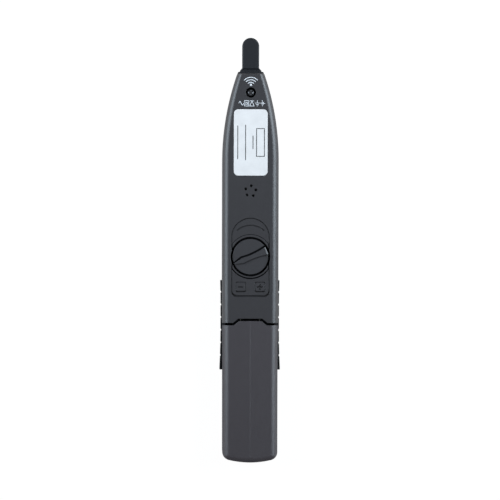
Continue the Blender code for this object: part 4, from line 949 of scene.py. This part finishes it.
# The ring's groove and the dial's well take the painted shade on their cut faces.
carve(rear, ring_shape(0.0, 0.0, RING_GROOVE_Z, above_z), painted_shade=painted_shade_plastic)
carve(rear, ring_shape(RING_GROOVE, RING_RISE, WELL_FLOOR_Z, RING_Z), "UNION")
carve(rear, rod(WELL_RADIUS, dial_place, WELL_FLOOR_Z, above_z), painted_shade=painted_shade_plastic)
carve(rear, rod(HUB_HOLE_RADIUS, dial_place, WELL_BASE_Z - CUT_PAST, RING_Z))
carve(rear, level_mark())
for side in (-1, 1):
    carve(rear, sign_block(side, 0.0, 0.0, GROOVE_Z, BACK_Z))
    square = sign_block(side, SIGN_GROOVE, SIGN_FOOT_GROOVE, panel_foot_z, SIGN_TOP_Z)
    carve(rear, square, "UNION")
    carve(rear, sign_bar(side, SIGN_BAR_LONG, SIGN_BAR_SHORT))
carve(rear, sign_bar(1, SIGN_BAR_SHORT, SIGN_BAR_LONG))


# Openings in the back: five sound holes in a ring over the buzzer, the recess for the label,
# the well of the nose screw and the slot that the sensor tip comes out of.
SOUND_Y = 0.0262
SOUND_RING = 0.00237
SOUND_HOLE = 0.00062
SOUND_HOLES = 5
SOUND_TURN = math.radians(84.2)
LABEL_HALF = 0.00755
LABEL_LOW_Y = 0.0331
LABEL_HIGH_Y = 0.0627
LABEL_CORNER = 0.0020
LABEL_THICKNESS = 0.0002
LABEL_GAP = 0.0002
SCREW_Y = 0.0702
SCREW_WELL = 0.0023
SCREW_SEAT_Z = 0.0172
SCREW_POST = 0.0032
SCREW_POST_Z = 0.0133
SCREW_HOLE = 0.0013
TIP_GAP = 0.0003
HOLE_SIDES = 24
SCREW_SIDES = 48

screw_place = (0.0, SCREW_Y)
carve(rear, rod(SCREW_POST, screw_place, SCREW_POST_Z, inside_z), "UNION")
holes = bmesh.new()
for number in range(SOUND_HOLES):
    angle = SOUND_TURN + 2 * math.pi * number / SOUND_HOLES
    place = (SOUND_RING * math.cos(angle), SOUND_Y + SOUND_RING * math.sin(angle))
    add_rod(holes, SOUND_HOLE, place, BACK_Z - WALL - CUT_PAST, above_z, HOLE_SIDES)
add_rod(holes, SCREW_WELL, screw_place, SCREW_SEAT_Z, above_z, SCREW_SIDES)
# The sound holes and the screw well take the painted shade on their cut faces.
carve(rear, holes, painted_shade=painted_shade_plastic)
shank_hole = rod(SCREW_HOLE, screw_place, SCREW_POST_Z - CUT_PAST, BACK_Z, HOLE_SIDES)
bracket_low_z, bracket_top_z = BRACKET_LOW_Z - CUT_PAST, BRACKET_TOP_Z + CUT_PAST
add_rod(shank_hole, SCREW_HOLE, (0.0, BAY_SCREW_Y), bracket_low_z, bracket_top_z, HOLE_SIDES)
carve(rear, shank_hole)
grown = LABEL_HALF + LABEL_GAP
recess_low = (-grown, LABEL_LOW_Y - LABEL_GAP, BACK_Z - LABEL_THICKNESS - TIP_GAP)
recess_high = (grown, LABEL_HIGH_Y + LABEL_GAP, above_z)
carve(rear, rounded_block(recess_low, recess_high, LABEL_CORNER + LABEL_GAP))
slot_half, slot_top_z = TIP_HALF + TIP_GAP, TIP_Z + TIP_THICKNESS / 2 + TIP_GAP
carve(rear, block((-slot_half, TIP_ROOT_Y, 0.0), (slot_half, TIP_END_Y, slot_top_z)))
crisp_edges(rear)


# Printing on the nose: the sensing sign, which is three arcs over a dot, and a row of common
# electrical signs. It is pad-printed in white ink straight onto the plastic.
INK_WHITE = (0.90, 0.92, 0.95)
INK_HEIGHT = 0.00002
WAVE_Y = 0.0729
WAVE_RADII = (0.00185, 0.00295, 0.00405)
WAVE_SPREAD = math.radians(47)
WAVE_WIDTH = 0.00037
DOT_Y = 0.0736
DOT_RADIUS = 0.00052
DOT_SIDES = 32
MARK_Y = 0.06535
MARK_PITCH = 0.0024
MARK_WIDTH = 0.00026
MARK_X = 0.0005
MARK_REACH = 0.00108
MARK_RISE = 0.00135
SINE_STEPS = 16
SINE_SWING = 0.6


def add_line(shape, points, width, closed=False):
    """A printed line through some points on the back, as a thin strip mitred at its corners."""
    points = [Vector((*point, BACK_Z)) for point in points]
    last = len(points) - 1
    rails = []
    for number, point in enumerate(points):
        before = points[number - 1] if number or closed else point
        after = points[(number + 1) % len(points)] if number < last or closed else point
        ways = [way.normalized() for way in (point - before, after - point) if way.length]
        along = sum(ways, Vector()).normalized()
        across = Vector((-along.y, along.x, 0.0)) * width / 2 / along.dot(ways[0])
        rails.append((shape.verts.new(point + across), shape.verts.new(point - across)))
    pairs = list(zip(rails, rails[1:] + rails[:1])) if closed else list(zip(rails, rails[1:]))
    faces = [shape.faces.new((a, b, d, c)) for (a, b), (c, d) in pairs]
    raise_faces(shape, faces, INK_HEIGHT)


def wave_points(radius):
    """Points along one arc of the sensing sign."""
    angles = [
        math.pi / 2 + WAVE_SPREAD * (2 * step / ARC_STEPS - 1) for step in range(ARC_STEPS + 1)
    ]
    return [(radius * math.cos(angle), WAVE_Y + radius * math.sin(angle)) for angle in angles]


def add_mark(shape, place, *lines, closed=False):
    """One sign of the row, drawn from lines on a square two units wide."""
    middle_x = MARK_X + place * MARK_PITCH
    for line in lines:
        points = [(middle_x + x * MARK_REACH, MARK_Y + y * MARK_RISE) for x, y in line]
        add_line(shape, points, MARK_WIDTH, closed)


nose_print = bmesh.new()
for radius in WAVE_RADII:
    add_line(nose_print, wave_points(radius), WAVE_WIDTH)
add_rod(nose_print, DOT_RADIUS, (0.0, DOT_Y), BACK_Z, BACK_Z + INK_HEIGHT, DOT_SIDES)
turns = [2 * step / SINE_STEPS - 1.0 for step in range(SINE_STEPS + 1)]
add_mark(nose_print, -2, [(turn, -SINE_SWING * math.sin(math.pi * turn)) for turn in turns])
for reach in (0.9, 0.35):
    square = [(-reach, -reach), (reach, -reach), (reach, reach), (-reach, reach)]
    add_mark(nose_print, -1, square, closed=True)
add_mark(nose_print, 0, [(-0.9, -0.9), (0.9, -0.9), (0, 0.75)], closed=True)
add_mark(nose_print, 0, [(-0.9, 0.85), (0.9, 0.85)])
earth = [[(-reach, rise), (reach, rise)] for reach, rise in ((1, 0.1), (0.6, -0.4), (0.25, -0.9))]
add_mark(nose_print, 1, [(0, 1), (0, 0.25)], *earth)
add_mark(nose_print, 2, [(-1, 0), (-0.35, 0)], [(-0.2, 1), (-0.2, -1)])
add_mark(nose_print, 2, [(0.25, 0.5), (0.25, -0.5)], [(0.4, 0), (1, 0)])
bmesh.ops.recalc_face_normals(nose_print, faces=nose_print.faces)
white_ink = moulded_plastic("white_ink", INK_WHITE, roughness=0.50, grain=0.00020)
add_piece("nose_print", nose_print, white_ink, "housing", "label")


# Rating label: a pale satin film stuck into its recess, printed with an empty box and plain
# ruled lines to write on.
LABEL_WHITE = (0.90, 0.87, 0.86)
INK_GREY = (0.035, 0.035, 0.038)
RULE_WIDTH = 0.00034
RULE_MIDDLE_Y = 0.0479
RULES = ((-0.0058, 0.0075), (-0.0023, 0.0079), (0.0010, 0.0030))
BOX_LOW_X = 0.0026
BOX_HIGH_X = 0.0061
BOX_HALF_Y = 0.0062
LABEL_EASE = 0.00004

label_film = moulded_plastic(
    "label_film", LABEL_WHITE, roughness=0.34, grain=0.0009, grain_depth=0.02
)
film_low = (-LABEL_HALF, LABEL_LOW_Y, BACK_Z - LABEL_THICKNESS)
film = rounded_block(film_low, (LABEL_HALF, LABEL_HIGH_Y, BACK_Z), LABEL_CORNER)
label = add_piece("label_film", film, label_film, "housing", "label", "rating_label")
ease_edges(label, LABEL_EASE)
label_print = bmesh.new()
for x, reach in RULES:
    add_line(label_print, [(x, RULE_MIDDLE_Y - reach), (x, RULE_MIDDLE_Y + reach)], RULE_WIDTH)
low_y, high_y = RULE_MIDDLE_Y - BOX_HALF_Y, RULE_MIDDLE_Y + BOX_HALF_Y
box = [(BOX_LOW_X, low_y), (BOX_HIGH_X, low_y), (BOX_HIGH_X, high_y), (BOX_LOW_X, high_y)]
add_line(label_print, box, RULE_WIDTH, closed=True)
bmesh.ops.recalc_face_normals(label_print, faces=label_print.faces)
grey_ink = moulded_plastic("grey_ink", INK_GREY, roughness=0.50, grain=0.00020)
add_piece("label_print", label_print, grey_ink, "housing", "label")


# Housing screws: black cross-head screws that hold the two shells together. One sits in the
# nose well, and the other under the battery cover.
SCREW_BLACK = (0.21, 0.21, 0.22)
SCREW_HEAD = 0.0018
SCREW_HEAD_HEIGHT = 0.0014
SCREW_SHANK = 0.0010
SCREW_LENGTH = 0.0085
SCREW_DOME = 0.0011
SCREW_DOME_STEPS = 6
CROSS_LONG = 0.0013
CROSS_SHORT = 0.00034
CROSS_DEPTH = 0.0012
CROSS_TURN = math.radians(40)

screw_steel = worked_metal(
    "screw_steel", SCREW_BLACK, roughness=0.46, lay=(1.0, 1.0, 1.0), scale=1500.0
)


def pan_head(centre, seat_z):
    """The head with its rounded rim, and the shank below it."""
    shape = bmesh.new()
    top_z = seat_z + SCREW_HEAD_HEIGHT
    head = add_rod(shape, SCREW_HEAD, centre, seat_z, top_z, SCREW_SIDES)
    dome_z = seat_z + SCREW_DOME / 2
    rim = [edge for edge in edges_of(head) if all(vert.co.z > dome_z for vert in edge.verts)]
    round_off(shape, rim, SCREW_DOME, SCREW_DOME_STEPS)
    add_rod(shape, SCREW_SHANK, centre, seat_z - SCREW_LENGTH, seat_z, HOLE_SIDES)
    return shape


for node in ("nose_screw", "bay_screw"):
    low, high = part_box(node)
    x, y = (low.x + high.x) / 2, (low.y + high.y) / 2
    head = pan_head((x, y), high.z - SCREW_HEAD_HEIGHT)
    screw = add_piece(f"{node}_head", head, screw_steel, "housing", "screw", node)
    for long_x, long_y in ((CROSS_LONG, CROSS_SHORT), (CROSS_SHORT, CROSS_LONG)):
        cross_low = (x - long_x, y - long_y, high.z - CROSS_DEPTH)
        cross = block(cross_low, (x + long_x, y + long_y, high.z + CUT_PAST))
        turned = Matrix.Rotation(CROSS_TURN, 3, "Z")
        bmesh.ops.rotate(cross, cent=(x, y, 0.0), matrix=turned, verts=cross.verts)
        carve(screw, cross)
    crisp_edges(screw)


# Level dial: a round knob with a waisted pointer ridge across it, pushed onto the shaft of
# the potentiometer. It stands in the well of the dial panel.
DIAL_GREY = (0.028, 0.026, 0.030)
DIAL_RADIUS = 0.00795
DIAL_BASE_Z = 0.0169
DIAL_TOP_Z = 0.0189
DIAL_RIM = 0.0002
DIAL_RIM_STEPS = 4
RIDGE_TOP_Z = 0.0199
RIDGE_HALF_LENGTH = 0.0078
RIDGE_WAIST = 0.0015
RIDGE_BLUNT = 0.0024
RIDGE_HEAD = 0.0018
RIDGE_HEAD_LENGTH = 0.0040
RIDGE_TIP = 0.0005
RIDGE_STEPS = 39
RIDGE_END_SLOPE = 0.0002
SLOT_WIDE = 0.0009
SLOT_TAPER = 0.6
SLOT_OVERRUN = 1.05
SLOT_WIDE_DEPTH = 0.0009
SLOT_FINE = 0.00030
SLOT_FINE_DEPTH = 0.0004
DIAL_REST = math.radians(202.8)
HUB_RADIUS = 0.0030
HUB_LENGTH = 0.0012
BORE_RADIUS = 0.0018
BORE_DEPTH = 0.0010
HUB_SIDES = 48
BORE_SIDES = 32


def ridge_half(place):
    """Half of the ridge's width at a place along it, its tip towards +X."""
    neck = RIDGE_HALF_LENGTH - RIDGE_HEAD_LENGTH
    if place < 0.0:
        return RIDGE_WAIST + (RIDGE_BLUNT - RIDGE_WAIST) * (place / RIDGE_HALF_LENGTH) ** 2
    if place < neck:
        return RIDGE_WAIST + (RIDGE_HEAD - RIDGE_WAIST) * (place / neck) ** 2
    return RIDGE_HEAD + (RIDGE_TIP - RIDGE_HEAD) * (place - neck) / RIDGE_HEAD_LENGTH


def ridge_bar(low_z, from_share, near, far):
    """A bar along the ridge, between two offsets in from its two sides."""
    shape = bmesh.new()
    bar = add_block(shape, (-RIDGE_HALF_LENGTH, 0.0, low_z), (RIDGE_HALF_LENGTH, 1.0, RIDGE_TOP_Z))
    lengthwise = [edge for edge in edges_of(bar) if edge.verts[0].co.x != edge.verts[1].co.x]
    bmesh.ops.subdivide_edges(shape, edges=lengthwise, cuts=RIDGE_STEPS, use_grid_fill=True)
    for vert in shape.verts:
        half = ridge_half(vert.co.x)
        taper = min(max(half / RIDGE_WAIST, SLOT_TAPER), 1.0)
        low, high = near * taper - half * from_share[0], far * taper - half * from_share[1]
        vert.co.y = min(low, high) if vert.co.y < 0.5 else max(low, high)
    return shape


def pointer_ridge():
    """The ridge between its two slots, with its ends sloped off."""
    shape = ridge_bar(DIAL_TOP_Z - SLOT_WIDE_DEPTH, (1, -1), SLOT_WIDE, -SLOT_FINE)
    for vert in shape.verts:
        if abs(vert.co.x) > RIDGE_HALF_LENGTH - RIDGE_END_SLOPE and vert.co.z > DIAL_TOP_Z:
            vert.co.z -= RIDGE_END_SLOPE
    return shape


dial_plastic = moulded_plastic(
    "dial_plastic", DIAL_GREY, roughness=0.40, grain=0.00030,
    specular=HOUSING_SPECULAR, ease=MOULD_EASE,
)
disc = bmesh.new()
disc_verts = add_rod(disc, DIAL_RADIUS, (0.0, 0.0), DIAL_BASE_Z, DIAL_TOP_Z)
inner_z = DIAL_BASE_Z + DIAL_RIM
rim = [edge for edge in edges_of(disc_verts) if all(vert.co.z > inner_z for vert in edge.verts)]
round_off(disc, rim, DIAL_RIM, DIAL_RIM_STEPS)
dial = add_piece("dial_knob", disc, dial_plastic, "dial", "dial", "level_dial")
wide_slot = ridge_bar(DIAL_TOP_Z - SLOT_WIDE_DEPTH, (1, 1), 0.0, SLOT_WIDE)
bmesh.ops.scale(wide_slot, vec=(SLOT_OVERRUN, 1.0, 1.0), verts=wide_slot.verts)
# The wide slot beside the ridge takes the painted shade on its cut faces.
carve(dial, wide_slot, painted_shade=painted_shade_plastic)
carve(dial, ridge_bar(DIAL_TOP_Z - SLOT_FINE_DEPTH, (-1, -1), -SLOT_FINE, 0.0))
carve(dial, pointer_ridge(), "UNION")
hub = rod(HUB_RADIUS, (0.0, 0.0), DIAL_BASE_Z - HUB_LENGTH, inner_z, HUB_SIDES)
carve(dial, hub, "UNION")
carve(dial, rod(BORE_RADIUS, (0.0, 0.0), 0.0, DIAL_BASE_Z + BORE_DEPTH, BORE_SIDES))
dial.data.transform(Matrix.Translation((0.0, DIAL_Y, 0.0)) @ Matrix.Rotation(DIAL_REST, 4, "Z"))
crisp_edges(dial)


# Battery cover: the lower third of the back, in a slightly paler batch of the same plastic.
# It has a faint crease down its middle. Ribs inside press on the cells, and two hooks run
# under the rear shell.
COVER_GREY = (0.045, 0.0375, 0.043)
COVER_EASE = 0.0003
COVER_FLANK = 0.5
RIB_HALF = 0.0006
RIB_X = 0.00535
RIB_LOW_Y = -0.08565
RIB_HIGH_Y = -0.04565
RIB_LOW_Z = 0.0136
HOOK_HALF = 0.0018
HOOK_X = 0.0062
HOOK_LOW_Y = -0.0398
HOOK_MID_Y = -0.0338
HOOK_HIGH_Y = -0.0283
HOOK_LOW_Z = 0.0154
HOOK_TOP_Z = 0.0166
CROWN_FALL = 0.035
CREASE_HALF = 0.00009
CREASE_RISE = 0.000032
CROWN_LOW_Z = 0.0155


def crown(piece):
    """Creases a cover down its middle, and lets each half fall away a little to its side."""
    shape = bmesh.new()
    shape.from_mesh(piece.data)
    cuts = [((x, 0.0, 0.0), (1.0, 0.0, 0.0)) for x in (-CREASE_HALF, 0.0, CREASE_HALF)]
    cuts.append(((0.0, COVER_LINE_Y - COVER_GAP, 0.0), (0.0, 1.0, 0.0)))
    for place, across in cuts:
        parts = shape.verts[:] + shape.edges[:] + shape.faces[:]
        bmesh.ops.bisect_plane(shape, geom=parts, plane_co=place, plane_no=across)
    for vert in shape.verts:
        share = max((vert.co.z - CROWN_LOW_Z) / (BACK_Z - CROWN_LOW_Z), 0.0)
        out = abs(vert.co.x)
        vert.co.z -= share * (CROWN_FALL * out + CREASE_RISE * min(out / CREASE_HALF, 1.0))
    for edge in shape.edges:
        edge.smooth = any(abs(vert.co.x) > CREASE_HALF * 1.01 for vert in edge.verts)
    shape.to_mesh(piece.data)
    shape.free()


cover_plastic = moulded_plastic(
    "cover_plastic", COVER_GREY, HOUSING_ROUGHNESS, GRAIN_SIZE,
    specular=HOUSING_SPECULAR, ease=COVER_EASE, flank=COVER_FLANK,
)
cover = add_piece("cover_moulding", back_shell(), cover_plastic, "cover", "cover", "battery_cover")
# The cut faces along the cover line take the painted shade.
carve(cover, across_line(-COVER_GAP / 2, -TAIL_Y), painted_shade=painted_shade_plastic)
for side in (-1, 1):
    rib_low = (side * RIB_X - RIB_HALF, RIB_LOW_Y, RIB_LOW_Z)
    carve(cover, block(rib_low, (side * RIB_X + RIB_HALF, RIB_HIGH_Y, inside_z)), "UNION")
    inner_x, outer_x = side * HOOK_X - HOOK_HALF, side * HOOK_X + HOOK_HALF
    # The hooks take the painted shade, as they show through the cover gap.
    root = block((inner_x, HOOK_LOW_Y, HOOK_LOW_Z), (outer_x, HOOK_MID_Y, inside_z))
    carve(cover, root, "UNION", painted_shade_plastic)
    hook_low = (inner_x, (HOOK_LOW_Y + HOOK_MID_Y) / 2, HOOK_LOW_Z)
    hook = block(hook_low, (outer_x, HOOK_HIGH_Y, HOOK_TOP_Z))
    carve(cover, hook, "UNION", painted_shade_plastic)
crown(cover)
crisp_edges(cover)


# Floor, light and camera: a white floor in a white room with a dim ceiling, and a soft panel
# on each side, seen straight down from a little to the left.
FLOOR_WHITE = (0.86, 0.86, 0.86)
FLOOR_HALF = 3.0
FLOOR_DROP = 0.00005
FLOOR_SHARE = 0.92
FLOOR_ROUGHNESS = 0.9
WHITE_LIFT = 1.05
WALL_TOP = 0.08
WALL_FADE = 0.1
SOFTBOX_PLACE = (0.52, 0.22, 0.45)
SOFTBOX_SIZE = (0.55, 0.52)
SOFTBOX_TINT = (0.87, 1.0, 1.11)
LEFT_POWER = 3.65
RIGHT_POWER = 4.35
WORLD_FILL = 0.12
PHOTO_SPAN = 0.2237
CAMERA_DISTANCE = 1.30
CAMERA_LEAN = math.radians(1.2)
CAMERA_ROLL = math.radians(0.15)
CAMERA_TARGET = Vector((-0.00014, -0.0001, 0.0165))


def seen_white(tree, plain, white):
    """Shows white to the camera, and to mirrors and glass, over what a surface does for light."""
    rays = tree.nodes.new("ShaderNodeLightPath").outputs
    mirrored, reach, seen, share = [tree.nodes.new("ShaderNodeMath") for _ in range(4)]
    mirrored.operation = seen.operation = "MAXIMUM"
    reach.operation = share.operation = "MULTIPLY"
    reach.inputs[1].default_value = 1.0
    share.inputs[1].default_value = 1.0
    mix = tree.nodes.new("ShaderNodeMixShader")
    for source, goal in (
        (rays["Is Glossy Ray"], mirrored.inputs[0]),
        (rays["Is Transmission Ray"], mirrored.inputs[1]),
        (mirrored.outputs[0], reach.inputs[0]),
        (rays["Is Camera Ray"], seen.inputs[0]),
        (reach.outputs[0], seen.inputs[1]),
        (seen.outputs[0], share.inputs[0]),
        (share.outputs[0], mix.inputs["Fac"]),
        (plain.outputs[0], mix.inputs[1]),
        (white.outputs[0], mix.inputs[2]),
    ):
        tree.links.new(source, goal)
    return reach.inputs[1], share.inputs[1], mix.outputs[0]


floor_shape = bmesh.new()
bmesh.ops.create_grid(floor_shape, x_segments=1, y_segments=1, size=FLOOR_HALF)
floor = as_object("floor", floor_shape)
floor.location.z = -FLOOR_DROP
paper, paper_nodes, paper_link, paper_inputs = new_finish("white_sweep")
paper_inputs["Base Color"].default_value = (*FLOOR_WHITE, 1.0)
paper_inputs["Roughness"].default_value = FLOOR_ROUGHNESS
paper_white = add_node(paper_nodes, "ShaderNodeEmission", Strength=WHITE_LIFT)
paper_plain = paper_nodes["Principled BSDF"]
_, paper_share, paper_mix = seen_white(paper.node_tree, paper_plain, paper_white)
paper_share.default_value = FLOOR_SHARE
paper_link(paper_mix, paper_nodes["Material Output"].inputs["Surface"])
floor.data.materials.append(paper)

world = bpy.data.worlds.new("studio")
bpy.context.scene.world = world
world.use_nodes = True
sky_nodes = world.node_tree.nodes
sky_link = world.node_tree.links.new
sky = sky_nodes["Background"]
walls = sky_nodes.new("ShaderNodeBackground")
for light in (sky, walls):
    light.inputs["Color"].default_value = (1.0, 1.0, 1.0, 1.0)
sky.inputs["Strength"].default_value = WORLD_FILL
wall_reach, _, world_mix = seen_white(world.node_tree, sky, walls)
direction = sky_nodes.new("ShaderNodeTexCoord")
parts = sky_nodes.new("ShaderNodeSeparateXYZ")
sky_link(direction.outputs["Generated"], parts.inputs[0])
wall_top = add_node(
    sky_nodes, "ShaderNodeMapRange", From_Min=WALL_TOP + WALL_FADE, From_Max=WALL_TOP
)
sky_link(parts.outputs["Z"], wall_top.inputs["Value"])
sky_link(wall_top.outputs["Result"], wall_reach)
sky_link(world_mix, sky_nodes["World Output"].inputs["Surface"])

for name, side, power in (("left_softbox", -1, LEFT_POWER), ("right_softbox", 1, RIGHT_POWER)):
    x, y, z = SOFTBOX_PLACE
    lamp = bpy.data.lights.new(name, "AREA")
    lamp.shape = "RECTANGLE"
    lamp.size, lamp.size_y = SOFTBOX_SIZE
    lamp.energy = power
    lamp.color = SOFTBOX_TINT
    softbox = bpy.data.objects.new(name, lamp)
    bpy.context.scene.collection.objects.link(softbox)
    softbox.location = (side * x, y, z)
    softbox.rotation_euler = (math.atan2(x, z), 0.0, side * math.pi / 2)

camera_data = bpy.data.cameras.new("camera")
camera_data.sensor_width = 36.0
camera_data.lens = camera_data.sensor_width * CAMERA_DISTANCE / PHOTO_SPAN
camera_data.clip_start = 0.05
camera = bpy.data.objects.new("camera", camera_data)
bpy.context.scene.collection.objects.link(camera)
back = Vector((-math.sin(CAMERA_LEAN), 0.0, math.cos(CAMERA_LEAN)))
camera.location = CAMERA_TARGET + back * CAMERA_DISTANCE
aim = Matrix.Rotation(-CAMERA_LEAN, 4, "Y") @ Matrix.Rotation(CAMERA_ROLL, 4, "Z")
camera.rotation_euler = aim.to_euler()
bpy.context.scene.camera = camera
bpy.context.scene.view_settings.view_transform = "Standard"
